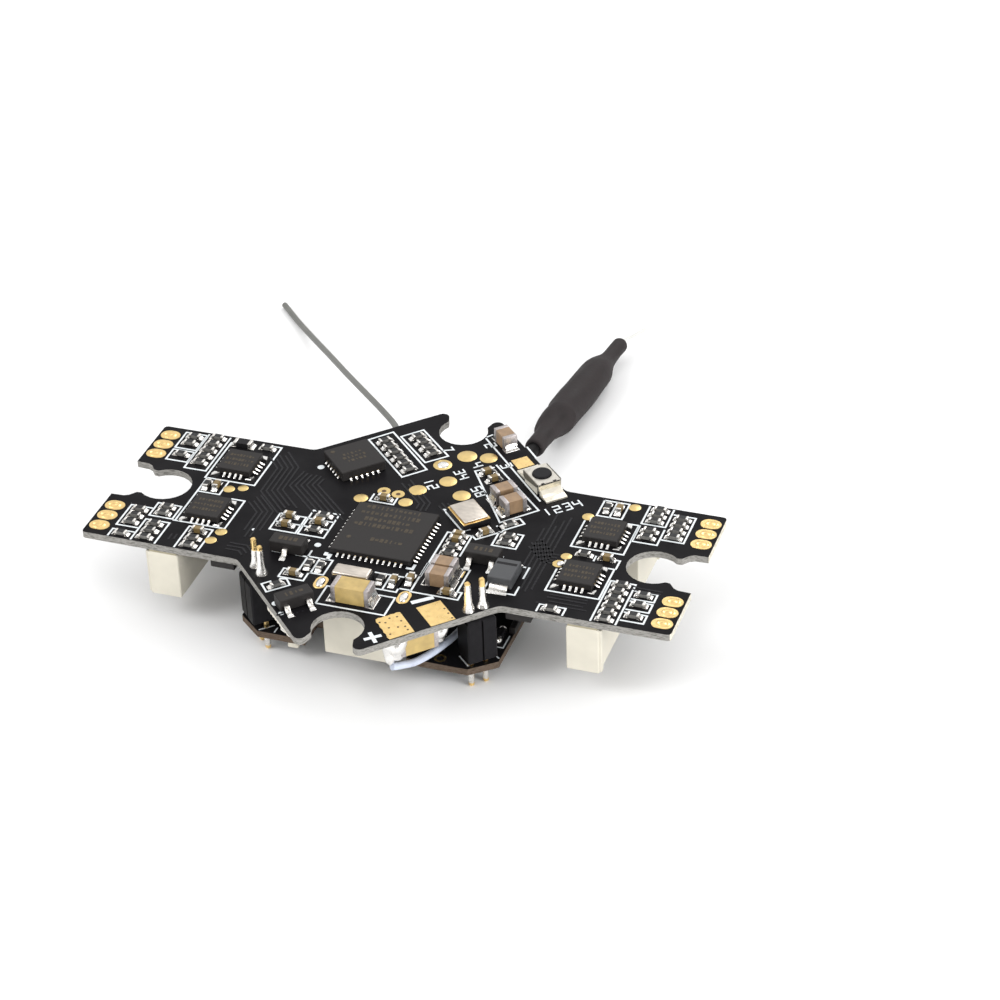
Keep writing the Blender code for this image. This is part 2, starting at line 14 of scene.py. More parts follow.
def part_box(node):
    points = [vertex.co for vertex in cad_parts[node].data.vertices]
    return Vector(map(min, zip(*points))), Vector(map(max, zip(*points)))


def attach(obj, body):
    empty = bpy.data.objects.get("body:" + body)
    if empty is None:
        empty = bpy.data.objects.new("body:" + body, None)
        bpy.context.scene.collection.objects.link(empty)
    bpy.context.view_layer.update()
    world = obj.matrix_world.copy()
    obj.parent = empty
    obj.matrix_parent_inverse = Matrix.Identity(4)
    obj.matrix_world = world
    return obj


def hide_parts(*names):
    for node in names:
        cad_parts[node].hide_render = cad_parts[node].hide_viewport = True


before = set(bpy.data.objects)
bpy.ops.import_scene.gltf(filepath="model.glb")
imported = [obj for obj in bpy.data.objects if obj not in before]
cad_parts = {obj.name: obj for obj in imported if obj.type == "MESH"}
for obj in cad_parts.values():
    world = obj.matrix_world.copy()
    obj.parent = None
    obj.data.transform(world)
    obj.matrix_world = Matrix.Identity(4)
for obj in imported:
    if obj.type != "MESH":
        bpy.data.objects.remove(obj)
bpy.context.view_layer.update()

MILLIMETRE = 0.001
DIAGONAL = 45.0             # degrees; the body of the board is turned by this much
BODY = "board"              # the CAD body that nearly everything rides on
ARM_END = 0.021             # metres; the sawn ends of the arms lie further out than this
random.seed(7)


def mm(*lengths):
    if len(lengths) == 1:
        return lengths[0] * MILLIMETRE
    return Vector(lengths) * MILLIMETRE


def node_box(node):
    """Lowest and highest corner of a CAD node, in millimetres."""
    low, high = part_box(node)
    return [c / MILLIMETRE for c in low], [c / MILLIMETRE for c in high]


TOP = node_box("main_board")[1][2]          # upper face of the main board
UNDER = node_box("main_board")[0][2]
LOWER_TOP = node_box("transmitter_board")[1][2]
LOWER_UNDER = node_box("transmitter_board")[0][2]
# Thin things reach a little into what they lie on, so that no gap shows
SINK = 0.002                                # print and solder
MARK_SINK = 0.004                           # chip markings and tracks
PAD_BASE = TOP - 0.005
PART_LIFT = 0.04                            # chip parts stand on this much solder
CORNERS = [(f"{row}_{side}", side_sign, row_sign) for row, row_sign in (("front", -1), ("back", 1))
           for side, side_sign in (("left", -1), ("right", 1))]


# ---------------------------------------------------------------- materials

class Coat:
    """A Principled material with a node tree that is easy to wire."""

    def __init__(self, name, roughness=0.4, metallic=0.0, specular=0.5):
        self.material = bpy.data.materials.new(name)
        self.material.use_nodes = True
        self.tree = self.material.node_tree
        self.shader = self.tree.nodes["Principled BSDF"]
        self.shader.inputs["Roughness"].default_value = roughness
        self.shader.inputs["Metallic"].default_value = metallic
        self.shader.inputs["Specular IOR Level"].default_value = specular
        self.place = self.node("ShaderNodeTexCoord").outputs["Object"]

    def node(self, kind, **settings):
        made = self.tree.nodes.new(kind)
        for key, value in settings.items():
            setattr(made, key, value)
        return made

    def link(self, source, target):
        self.tree.links.new(source, target)

    def noise(self, size, detail=3.0, stretch=None):
        """Noise whose features are about size millimetres across."""
        noise = self.node("ShaderNodeTexNoise")
        noise.inputs["Scale"].default_value = 1 / mm(size)
        noise.inputs["Detail"].default_value = detail
        if stretch:
            mapping = self.node("ShaderNodeMapping")
            mapping.inputs["Scale"].default_value = stretch
            self.link(self.place, mapping.inputs["Vector"])
            self.link(mapping.outputs["Vector"], noise.inputs["Vector"])
        else:
            self.link(self.place, noise.inputs["Vector"])
        return noise.outputs["Fac"]

    def ramp(self, value, *stops):
        """Colours at positions, driven by value."""
        ramp = self.node("ShaderNodeValToRGB")
        elements = ramp.color_ramp.elements
        while len(elements) < len(stops):
            elements.new(0.5)
        for element, (position, colour) in zip(elements, stops):
            element.position = position
            element.color = (*colour, 1.0)
        self.link(value, ramp.inputs["Fac"])
        return ramp.outputs["Color"]

    def two_tone(self, value, colour, spread):
        """A darker and a lighter shade of colour, driven by value."""
        return self.ramp(value, (0.3, scaled(colour, 1 - spread)),
                         (0.7, scaled(colour, 1 + spread)))

    def mix(self, factor, first, second):
        mix = self.node("ShaderNodeMix", data_type="RGBA")
        self.link(factor, mix.inputs["Factor"])
        for socket, value in (("A", first), ("B", second)):
            target = [s for s in mix.inputs if s.name == socket and s.type == "RGBA"][0]
            if isinstance(value, tuple):
                target.default_value = (*value, 1.0)
            else:
                self.link(value, target)
        return [s for s in mix.outputs if s.type == "RGBA"][0]

    def map(self, value, low, high, start=0.3, end=0.7):
        mapped = self.node("ShaderNodeMapRange")
        mapped.inputs["From Min"].default_value = start
        mapped.inputs["From Max"].default_value = end
        mapped.inputs["To Min"].default_value = low
        mapped.inputs["To Max"].default_value = high
        self.link(value, mapped.inputs["Value"])
        return mapped.outputs["Result"]

    def maths(self, operation, *values):
        """The result of an operation on outputs and numbers."""
        made = self.node("ShaderNodeMath", operation=operation)
        for value, target in zip(values, made.inputs):
            if isinstance(value, float):
                target.default_value = value
            else:
                self.link(value, target)
        return made.outputs[0]

    def surface(self, what):
        """X, Y and Z outputs of the surface's Normal or Position."""
        split = self.node("ShaderNodeSeparateXYZ")
        self.link(self.node("ShaderNodeNewGeometry").outputs[what], split.inputs["Vector"])
        return split.outputs

    def bump(self, height, depth):
        """A bump whose full height is depth millimetres."""
        bump = self.node("ShaderNodeBump")
        bump.inputs["Distance"].default_value = mm(depth)
        bump.inputs["Strength"].default_value = 1.0
        self.link(height, bump.inputs["Height"])
        self.link(bump.outputs["Normal"], self.shader.inputs["Normal"])

    def colour(self, source):
        self.link(source, self.shader.inputs["Base Color"])


def scaled(colour, factor):
    return tuple(min(channel * factor, 1.0) for channel in colour)


def plain_coat(name, colour, roughness, metallic=0.0, spread=0.12, size=0.6, grain=0.08,
               depth=0.004, specular=0.5):
    """One colour with slow variation, uneven gloss and a fine grain."""
    coat = Coat(name, roughness, metallic, specular)
    slow = coat.noise(size)
    fine = coat.noise(grain, 2.0)
    coat.colour(coat.two_tone(slow, colour, spread))
    coat.link(coat.map(slow, roughness * 0.85, min(roughness * 1.2, 1.0)),
              coat.shader.inputs["Roughness"])
    coat.bump(fine, depth)
    return coat.material


def board_coat(name, edge_dark, edge_light, end_tint):
    """Black solder mask on the faces, and bare layered glass fibre on the sawn edges."""
    coat = Coat(name, 0.36, specular=0.05)
    normal = coat.surface("Normal")
    face = coat.maths("GREATER_THAN", coat.maths("ABSOLUTE", normal["Z"]), 0.6)
    mask = coat.ramp(coat.noise(2.4, 4.0), (0.3, (0.0065, 0.006, 0.007)),
                     (0.7, (0.011, 0.0105, 0.0115)))
    layers = coat.noise(0.16, 3.0, (0.35, 0.35, 2.2))
    fibre = coat.ramp(layers, (0.3, edge_dark), (0.55, edge_light), (0.78, edge_dark))
    # only the sawn end of an arm is pale: it faces outwards along x, far from the middle
    outwards = coat.maths("MULTIPLY", normal["X"], coat.surface("Position")["X"])
    end_face = coat.maths("GREATER_THAN", outwards, ARM_END)
    pale = coat.ramp(coat.noise(0.3, 3.0), (0.35, scaled(end_tint, 0.6)), (0.6, end_tint))
    coat.colour(coat.mix(face, coat.mix(end_face, fibre, pale), mask))
    coat.link(coat.map(face, 0.75, 0.34, 0.0, 1.0), coat.shader.inputs["Roughness"])
    coat.bump(coat.noise(0.35, 2.0), 0.006)
    return coat.material


def shaded_coat(name, lit, shade, roughness, specular):
    """Smooth plastic with painted shade on the sides that face -x."""
    coat = Coat(name, roughness, specular=specular)
    shade_side = coat.maths("LESS_THAN", coat.surface("Normal")["X"], -0.3)
    slow = coat.noise(0.6)
    plain, dark = (coat.two_tone(slow, colour, 0.15) for colour in (lit, shade))
    coat.colour(coat.mix(shade_side, plain, dark))
    coat.bump(coat.noise(0.08, 2.0), 0.003)
    return coat.material


def stripe_coat(name, colour, roughness, metallic, stretch, depth=0.004, spread=0.2):
    """Metal drawn or brushed along one axis."""
    coat = Coat(name, roughness, metallic)
    lines = coat.noise(0.25, 3.0, stretch)
    coat.colour(coat.two_tone(lines, colour, spread))
    coat.link(coat.map(lines, roughness * 0.8, roughness * 1.3), coat.shader.inputs["Roughness"])
    coat.bump(lines, depth)
    return coat.material


MASK_BLACK = board_coat("solder_mask_black", (0.11, 0.107, 0.096), (0.34, 0.33, 0.31),
                        (0.7, 0.66, 0.56))
LOWER_MASK = board_coat("solder_mask_lower", (0.045, 0.032, 0.022), (0.14, 0.105, 0.08),
                        (0.2, 0.16, 0.12))
TRACE = plain_coat("masked_copper", (0.011, 0.0105, 0.0125), 0.26, spread=0.3, size=0.3,
                   depth=0.002, specular=0.16)
INK = plain_coat("white_ink", (0.74, 0.78, 0.8), 0.55, spread=0.07, size=0.3, depth=0.004)
GOLD = plain_coat("gold_plate", (0.8, 0.6, 0.26), 0.33, 1.0, spread=0.07, size=0.5, grain=0.12,
                  depth=0.006)
BRIGHT_GOLD = plain_coat("bright_gold", (0.93, 0.67, 0.29), 0.3, 1.0, spread=0.07, size=0.5,
                         grain=0.15, depth=0.008)
SOLDER = plain_coat("solder", (0.88, 0.865, 0.84), 0.2, 1.0, spread=0.1, size=0.25, grain=0.18,
                    depth=0.02)
TIN = plain_coat("tin_plate", (0.84, 0.815, 0.775), 0.28, 1.0, spread=0.08, size=0.3, grain=0.12,
                 depth=0.01)
TERMINAL = plain_coat("part_end_plate", (0.46, 0.425, 0.42), 0.42, 0.85, spread=0.2, size=0.15,
                      grain=0.08, depth=0.012)
BUTTON_PANEL = plain_coat("button_panel", (0.58, 0.53, 0.41), 0.4, 0.4, spread=0.18, size=0.4)
# painted shade: the dark colour of the button cover's side flaps
FLAP_IN_SHADE = plain_coat("steel_in_shade", (0.16, 0.145, 0.115), 0.5, 0.5, spread=0.25, size=0.4)
CREAM_TIN = plain_coat("button_tin", (0.84, 0.79, 0.68), 0.34, 0.75, spread=0.08, size=0.4,
                       grain=0.15, depth=0.012)
MOULD = plain_coat("moulded_black", (0.021, 0.019, 0.0185), 0.5, spread=0.15, size=0.8, grain=0.07,
                   depth=0.005, specular=0.22)
SMOOTH_MOULD = plain_coat("moulded_smooth", (0.013, 0.0125, 0.014), 0.42, spread=0.15, depth=0.003,
                          specular=0.14)
# header strips: painted shade on their -x sides
STRIP_MOULD = shaded_coat("moulded_strip", (0.0105, 0.01, 0.0115), (0.0022, 0.002, 0.0022), 0.45,
                          0.09)
DIODE_MOULD = plain_coat("moulded_grey", (0.05, 0.052, 0.056), 0.5, spread=0.12, depth=0.006)
MARKING = plain_coat("faint_marking", (0.062, 0.05, 0.036), 0.6, spread=0.35, size=0.15,
                     depth=0.002, specular=0.2)
GLAZE = plain_coat("resistor_glaze", (0.012, 0.012, 0.013), 0.3, spread=0.2, specular=0.35)
ALUMINA = plain_coat("alumina", (0.17, 0.165, 0.155), 0.55, spread=0.15, size=0.3)
BROWN = plain_coat("brown_ceramic", (0.27, 0.175, 0.1), 0.42, spread=0.16, size=0.5, depth=0.006)
KHAKI = plain_coat("khaki_ceramic", (0.19, 0.13, 0.05), 0.42, spread=0.2, size=0.4, depth=0.006)
TAN = plain_coat("tan_ceramic", (0.46, 0.33, 0.12), 0.36, spread=0.14, size=0.7, depth=0.006)
CREAM = plain_coat("cream_nylon", (0.64, 0.605, 0.51), 0.42, spread=0.04, size=1.5, grain=0.2,
                   depth=0.006)
# painted shade for the drawn-in tops of the motor sockets, under the board
CREAM_IN_SHADE = plain_coat("cream_nylon_shaded", (0.36, 0.32, 0.22), 0.5, spread=0.12)
# painted shadow: a thin dark line beside the motor sockets' ribs
RIB_SHADOW_LINE = plain_coat("slit_shadow", (0.2, 0.15, 0.1), 0.8, specular=0.1)
LID = stripe_coat("crystal_lid", (0.64, 0.585, 0.52), 0.36, 1.0, (0.4, 1.0, 1.0), depth=0.002,
                  spread=0.1)
COVER = stripe_coat("cover_steel", (0.64, 0.61, 0.55), 0.38, 0.9, (1.0, 0.3, 1.0), depth=0.002,
                    spread=0.1)
SHELL = stripe_coat("shell_steel", (0.66, 0.66, 0.66), 0.3, 1.0, (0.35, 1.0, 1.0))
GREY_BASE = plain_coat("grey_moulding", (0.1, 0.1, 0.095), 0.5)
BLACK_KNOB = plain_coat("black_knob", (0.011, 0.0105, 0.0125), 0.55, spread=0.25, grain=0.1,
                        specular=0.16)
SHRINK = plain_coat("shrink_sleeve", (0.026, 0.0215, 0.022), 0.66, spread=0.22, size=1.4,
                    grain=0.25, depth=0.02, specular=0.2)
COAX_JACKET = plain_coat("coax_jacket", (0.004, 0.0035, 0.004), 0.6, spread=0.2, grain=0.2,
                         depth=0.01, specular=0.2)
GREY_WIRE = plain_coat("grey_jacket", (0.14, 0.14, 0.13), 0.5, spread=0.15, size=1.0, depth=0.006)
PALE_STRAND = plain_coat("pale_strand", (0.63, 0.63, 0.6), 0.5, spread=0.05, size=1.0)
CLEAR_WIRE = plain_coat("pale_jacket", (0.55, 0.6, 0.72), 0.3, spread=0.12, size=1.2)
# painted shade: dark discs that stand for the insides of via holes
VIA_HOLE_SHADE = plain_coat("via_dark", (0.09, 0.05, 0.02), 0.5)


# ---------------------------------------------------------------- shapes

def shift(x, y, z):
    return Matrix.Translation((x, y, z))


def spin(degrees, axis="Z"):
    return Matrix.Rotation(math.radians(degrees), 4, axis)


def spot(x, y, z, turn=0.0):
    """A place on the board, turned about z by degrees."""
    return shift(x, y, z) @ spin(turn)


def ring(shape, radius, height, sides):
    """A circle of vertices round the z axis."""
    angles = [2 * math.pi * k / sides for k in range(sides)]
    return [shape.verts.new((radius * math.cos(angle), radius * math.sin(angle), height))
            for angle in angles]


def band(shape, first, second):
    """Faces that join two loops of vertices, one to one."""
    count = len(first)
    for k in range(count):
        m = (k + 1) % count
        shape.faces.new((first[k], first[m], second[m], second[k]))


def bevelled(shape, edges, offset, steps=1):
    if offset:
        bmesh.ops.bevel(shape, geom=edges, offset=offset, segments=steps, profile=0.5,
                        affect="EDGES")
    return shape


def block(length, width, height, edge=0.0, steps=1):
    """A box standing on z = 0, with its edges rounded by edge."""
    shape = bmesh.new()
    bmesh.ops.create_cube(shape, size=1.0)
    bmesh.ops.translate(shape, verts=shape.verts, vec=(0, 0, 0.5))
    bmesh.ops.scale(shape, verts=shape.verts, vec=(length, width, height))
    return bevelled(shape, shape.edges[:], edge, steps)


def turned(profile, sides):
    """A solid of revolution about z from (radius, height) points, top first, ending on the axis
    or closed by a flat disc."""
    shape = bmesh.new()
    rings = [ring(shape, radius, height, sides) if radius > 1e-6
             else [shape.verts.new((0, 0, height))] for radius, height in profile]
    for upper, lower in zip(rings, rings[1:]):
        for k in range(sides):
            m = (k + 1) % sides
            corners = [upper[k % len(upper)], lower[k % len(lower)], lower[m % len(lower)],
                       upper[m % len(upper)]]
            unique = list(dict.fromkeys(corners))
            if len(unique) > 2:
                shape.faces.new(unique)
    for end in (rings[0], rings[-1][::-1]):
        if len(end) > 1:
            shape.faces.new(end)
    return shape


def disc(radius, height, sides):
    return turned(((0.0, height), (radius, height), (radius, 0.0)), sides)


def tube_ring(outer, inner, height):
    """A flat ring with a hole."""
    shape = bmesh.new()
    rings = [ring(shape, radius, level, 28)
             for radius, level in ((outer, 0), (outer, height), (inner, height), (inner, 0))]
    for k, loop in enumerate(rings):
        band(shape, loop, rings[(k + 1) % 4])
    return shape


def prism(outline, height, edge=0.0):
    """A flat outline, counterclockwise, raised to height."""
    shape = bmesh.new()
    bottom = [shape.verts.new((x, y, 0)) for x, y in outline]
    top = [shape.verts.new((x, y, height)) for x, y in outline]
    shape.faces.new(bottom[::-1])
    roof = shape.faces.new(top)
    band(shape, bottom, top)
    return bevelled(shape, list(roof.edges), edge)


def side_points(points, offset, closed=False):
    """points moved sideways by offset, with mitred corners."""
    vectors = [Vector(point) for point in points]
    count = len(vectors)
    moved = []
    for k, here in enumerate(vectors):
        ways = []
        if k > 0 or closed:
            ways.append((here - vectors[k - 1]).normalized())
        if k < count - 1 or closed:
            ways.append((vectors[(k + 1) % count] - here).normalized())
        normals = [Vector((-way.y, way.x)) for way in ways]
        middle = sum(normals, Vector((0, 0))).normalized()
        reach = offset / max(middle.dot(normals[0]), 0.3)
        moved.append(here + middle * reach)
    return moved


def strip(points, width, height, closed=False):
    """A flat line of width along points, raised to height."""
    left = side_points(points, width / 2, closed)
    right = side_points(points, -width / 2, closed)
    shape = bmesh.new()
    rows = []
    for a, b in zip(left, right):
        rows.append([shape.verts.new((*a, 0)), shape.verts.new((*b, 0)),
                     shape.verts.new((*b, height)), shape.verts.new((*a, height))])
    for first, second in zip(rows, rows[1:] + ([rows[0]] if closed else [])):
        band(shape, first, second)
    if not closed:
        shape.faces.new(rows[0][::-1])
        shape.faces.new(rows[-1])
    return shape


def swept(profile, width, edge):
    """An x-z outline, counterclockwise seen from -y, swept by width along y."""
    shape = bmesh.new()
    front = [shape.verts.new((x, -width / 2, z)) for x, z in profile]
    back = [shape.verts.new((x, width / 2, z)) for x, z in profile]
    shape.faces.new(front)
    shape.faces.new(back[::-1])
    count = len(profile)
    for k in range(count):
        m = (k + 1) % count
        shape.faces.new((front[m], front[k], back[k], back[m]))
    return bevelled(shape, shape.edges[:], edge)


def fillet(length, width, high):
    """A solder fillet that falls away along +x, hollow like a drop pulled by its pad."""
    low = 0.03
    profile = [(-0.03, 0.0), (length, 0.0), (length, low)]
    for step in range(1, 5):
        t = step / 4
        profile.append((length * (1 - t) - 0.03 * t, low + (high - low) * t ** 1.8))
    return swept(profile, width, min(0.03, width / 6))


def mound(radius_x, radius_y, height, sides=18, rings=5):
    """A drop of solder."""
    profile = []
    for step in range(rings + 1):
        angle = math.pi / 2 * step / rings
        profile.append((math.sin(angle), math.cos(angle)))
    shape = turned(profile, sides)
    bmesh.ops.scale(shape, verts=shape.verts, vec=(radius_x, radius_y, height))
    return shape


def lumpy(radius_x, radius_y, height):
    """A large uneven drop of solder."""
    shape = mound(radius_x, radius_y, height, 28, 10)
    for vert in shape.verts:
        x, y, z = vert.co
        swell = 1 + 0.09 * math.sin(3.1 * x + 4.3 * z) + 0.08 * math.sin(4.7 * y - 2.9 * z)
        vert.co = (x * swell, y * swell, z)
    return shape


def gull_leg(reach, drop, width, thick=0.13):
    """A chip leg that leaves at +x from height drop and lies down on its foot."""
    middle = reach - 0.35       # where the foot begins
    line = [(-0.1, drop), (middle * 0.45, drop), (middle, thick / 2 + 0.02), (reach, thick / 2)]
    upper = side_points(line, thick / 2)
    lower = side_points(line, -thick / 2)
    profile = [tuple(p) for p in lower] + [tuple(p) for p in reversed(upper)]
    return swept(profile, width, 0.02)


def new_object(name, data):
    item = bpy.data.objects.new(name, data)
    bpy.context.scene.collection.objects.link(item)
    return item


class Piece:
    """A visible piece made of many shapes, each with its own material."""

    def __init__(self, name, slot, body=BODY):
        self.name = name
        self.slot = slot
        self.body = body
        self.shape = bmesh.new()
        self.coats = []

    def add(self, shape, coat, matrix=Matrix()):
        if coat not in self.coats:
            self.coats.append(coat)
        index = self.coats.index(coat)
        bmesh.ops.transform(shape, matrix=matrix, verts=shape.verts)
        for face in shape.faces:
            face.material_index = index
        spare = bpy.data.meshes.new("spare")
        shape.to_mesh(spare)
        shape.free()
        self.shape.from_mesh(spare)
        bpy.data.meshes.remove(spare)
        return self

    def build(self, smooth=40.0, replaces=()):
        bmesh.ops.recalc_face_normals(self.shape, faces=self.shape.faces)
        bmesh.ops.scale(self.shape, verts=self.shape.verts, vec=(MILLIMETRE,) * 3)
        mesh = bpy.data.meshes.new(self.name)
        self.shape.to_mesh(mesh)
        self.shape.free()
        for coat in self.coats:
            mesh.materials.append(coat)
        mesh.shade_smooth()
        mesh.set_sharp_from_angle(angle=math.radians(smooth))
        item = new_object(self.name, mesh)
        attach(item, self.body)
        if replaces:
            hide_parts(*replaces)
        return item


def recoat(coat, *nodes):
    """Gives CAD nodes a finished material."""
    for node in nodes:
        for material_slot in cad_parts[node].material_slots:
            material_slot.material = coat


# ---------------------------------------------------------------- camera, floor and light

# The camera that took the picture: focal length, place, and the ways its right and up point
LENS = 104.94
SENSOR = 36.0
CAMERA_AT = (75.2, -183.1, 142.2)
CAMERA_RIGHT = Vector((0.94578, 0.32347, -0.02955))
CAMERA_UP = Vector((-0.15717, 0.53535, 0.82987))

# Lights, floor and view distances are in metres
VIEW_RANGE = (0.01, 10.0)
LIGHT_SIZE = 0.3
LIGHTS = (          # name, place and power; each one aims at the middle of the floor
    ("key", (-0.36, -0.26, 0.42), 1.35), ("fill", (0.42, -0.14, 0.15), 1.3),
    ("rim", (0.1, 0.45, 0.35), 0.8))
FLOOR_HALF = 3.0
FLOOR_DROP = 0.00002        # keeps the floor clear of what rests on it
BACKDROP = 0.95             # strength of the white light from all round


def look():
    camera = bpy.data.cameras.new("camera")
    camera.lens = LENS
    camera.sensor_width = SENSOR
    camera.clip_start, camera.clip_end = VIEW_RANGE
    item = new_object("camera", camera)
    back = CAMERA_RIGHT.cross(CAMERA_UP)
    item.matrix_world = Matrix.Translation(mm(*CAMERA_AT)) @ Matrix(
        (CAMERA_RIGHT, CAMERA_UP, back)).transposed().to_4x4()
    bpy.context.scene.camera = item


def area_light(name, at, power):
    light = bpy.data.lights.new(name, "AREA")
    light.shape = "DISK"
    light.size = LIGHT_SIZE
    light.energy = power
    item = new_object(name, light)
    item.location = at
    item.rotation_mode = "QUATERNION"
    item.rotation_quaternion = Vector(at).to_track_quat("Z", "Y")


def studio():
    mesh = bpy.data.meshes.new("floor")
    corners = [(x * FLOOR_HALF, y * FLOOR_HALF, 0) for x, y in ((-1, -1), (1, -1), (1, 1), (-1, 1))]
    mesh.from_pydata(corners, [], [(0, 1, 2, 3)])
    coat = Coat("white_floor", 0.6, specular=0.2)
    coat.colour(coat.ramp(coat.noise(400.0), (0.0, (0.86, 0.86, 0.86)), (1.0, (0.9, 0.9, 0.9))))
    mesh.materials.append(coat.material)
    floor = new_object("floor", mesh)
    floor.location.z = -FLOOR_DROP

    world = bpy.data.worlds.new("studio")
    world.use_nodes = True
    tree = world.node_tree
    backdrop = tree.nodes["Background"]
    backdrop.inputs["Color"].default_value = (1.0, 1.0, 1.0, 1.0)
    backdrop.inputs["Strength"].default_value = BACKDROP
    # Glossy surfaces see softboxes overhead and a darker room round them
    room = tree.nodes.new("ShaderNodeBackground")
    towards = tree.nodes.new("ShaderNodeTexCoord")
    height = tree.nodes.new("ShaderNodeVectorMath")
    height.operation = "DOT_PRODUCT"
    height.inputs[1].default_value = (-0.35, 0.3, 0.88)
    ramp = tree.nodes.new("ShaderNodeValToRGB")
    stops = ((0.2, (0.3, 0.285, 0.27, 1.0)), (0.78, (1.0, 1.0, 1.0, 1.0)))
    for element, (position, colour) in zip(ramp.color_ramp.elements, stops):
        element.position = position
        element.color = colour
    rays = tree.nodes.new("ShaderNodeLightPath")
    mix = tree.nodes.new("ShaderNodeMixShader")
    for source, output, target, socket in (
            (towards, "Generated", height, 0), (height, "Value", ramp, "Fac"),
            (ramp, "Color", room, "Color"), (rays, "Is Glossy Ray", mix, "Fac"),
            (backdrop, "Background", mix, 1), (room, "Background", mix, 2),
            (mix, "Shader", tree.nodes["World Output"], "Surface")):
        tree.links.new(source.outputs[output], target.inputs[socket])
    bpy.context.scene.world = world
    for light in LIGHTS:
        area_light(*light)
    bpy.context.scene.view_settings.view_transform = "Standard"


look()
studio()


# ---------------------------------------------------------------- cords

def smooth_route(route, count):
    """Evenly spaced points on a Catmull-Rom curve through the route's points."""
    knots = [Vector(point) for point in route]
    knots = [2 * knots[0] - knots[1]] + knots + [2 * knots[-1] - knots[-2]]
    fine = []
    for index in range(1, len(knots) - 2):
        before, start, end, after = knots[index - 1:index + 3]
        for step in range(24):
            t = step / 24
            fine.append(0.5 * (2 * start + (end - before) * t
                               + (2 * before - 5 * start + 4 * end - after) * t ** 2
                               + (3 * start - before - 3 * end + after) * t ** 3))
    fine.append(knots[-2])
    lengths = [0.0]
    for first, second in zip(fine, fine[1:]):
        lengths.append(lengths[-1] + (second - first).length)
    points = []
    index = 0
    for step in range(count):
        target = lengths[-1] * step / (count - 1)
        while index < len(fine) - 2 and lengths[index + 1] < target:
            index += 1
        span = lengths[index + 1] - lengths[index]
        points.append(fine[index].lerp(fine[index + 1], (target - lengths[index]) / span))
    return points


def wire(name, route, diameter, count, coat, replaces):
    """A round wire along a smooth route, as a curve. Returns the object and its points."""
    curve = bpy.data.curves.new(name, "CURVE")
    curve.dimensions = "3D"
    curve.bevel_depth = mm(diameter) / 2
    curve.bevel_resolution = 6
    curve.use_fill_caps = True
    spline = curve.splines.new("POLY")
    points = smooth_route(route, count)
    spline.points.add(count - 1)
    for knot, point in zip(spline.points, points):
        knot.co = (*mm(*point), 1.0)
    spline.use_smooth = True
    curve.materials.append(coat)
    item = new_object(name, curve)
    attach(item, BODY)
    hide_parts(replaces)
    return item, points


RECEIVER_ROUTE = (
    (-4.6, 12.6, 6.15), (-5.7, 14.2, 6.15), (-6.9, 16.1, 6.05), (-9.2, 18.9, 5.5),
    (-12.2, 22.6, 4.5), (-15.8, 27.2, 3.1), (-19.4, 31.8, 1.8), (-22.8, 35.9, 0.8),
    (-25.8, 39.2, 0.35), (-28.4, 42.0, 0.29))
COAX_ROUTE = (
    (0.6, 7.9, 3.1), (1.1, 9.8, 3.1), (1.9, 12.8, 3.0), (3.2, 16.6, 2.7), (3.975, 19.82, 2.425),
    (4.09, 21.31, 2.35), (4.475, 26.289, 2.101), (4.86, 31.269, 1.851), (5.244, 36.248, 1.602),
    (5.629, 41.227, 1.352), (5.722, 42.42, 1.292))
ELEMENT_ROUTE = ((5.733, 42.56, 1.28), (5.86, 43.7, 1.05), (6.15, 45.3, 0.6), (6.6, 47.3, 0.22))
JUMPER_ROUTE = (
    (4.2, -14.3, 4.1), (4.45, -13.95, 3.95), (4.85, -13.35, 3.75), (5.4, -12.5, 3.5),
    (6.2, -10.9, 3.38), (6.8, -9.4, 3.4), (7.1, -8.2, 3.3), (7.1, -6.5, 2.9), (6.6, -4.8, 2.65),
    (6.0, -3.4, 2.6))
RECEIVER_WIRE, COAX, ELEMENT, JUMPER_WIRE = 0.56, 1.13, 0.3, 0.62    # diameters
SLEEVE_START = Vector((4.09, 21.31, 2.35))
SLEEVE_END = Vector((5.71, 42.27, 1.3))
SLEEVE_BORE = 0.61
# Outside of the sleeve: distance from its start, and radius
SLEEVE_ROWS = (
    (0.0, 0.8), (0.05, 0.86), (0.3, 0.89), (1.2, 0.87), (2.2, 0.9), (3.0, 0.94), (3.5, 1.02),
    (4.0, 1.18), (4.5, 1.38), (5.0, 1.52), (5.6, 1.59), (5.9, 1.6), (6.1, 1.6), (6.3, 1.6),
    (6.5, 1.6), (6.8, 1.6), (7.2, 1.6), (9.0, 1.59), (11.0, 1.6),
    (13.0, 1.61), (14.2, 1.6), (15.0, 1.53), (15.7, 1.36), (16.4, 1.13), (17.0, 0.94),
    (17.6, 0.82), (18.4, 0.75), (19.6, 0.73), (20.6, 0.74), (20.9, 0.72), (21.04, 0.66))


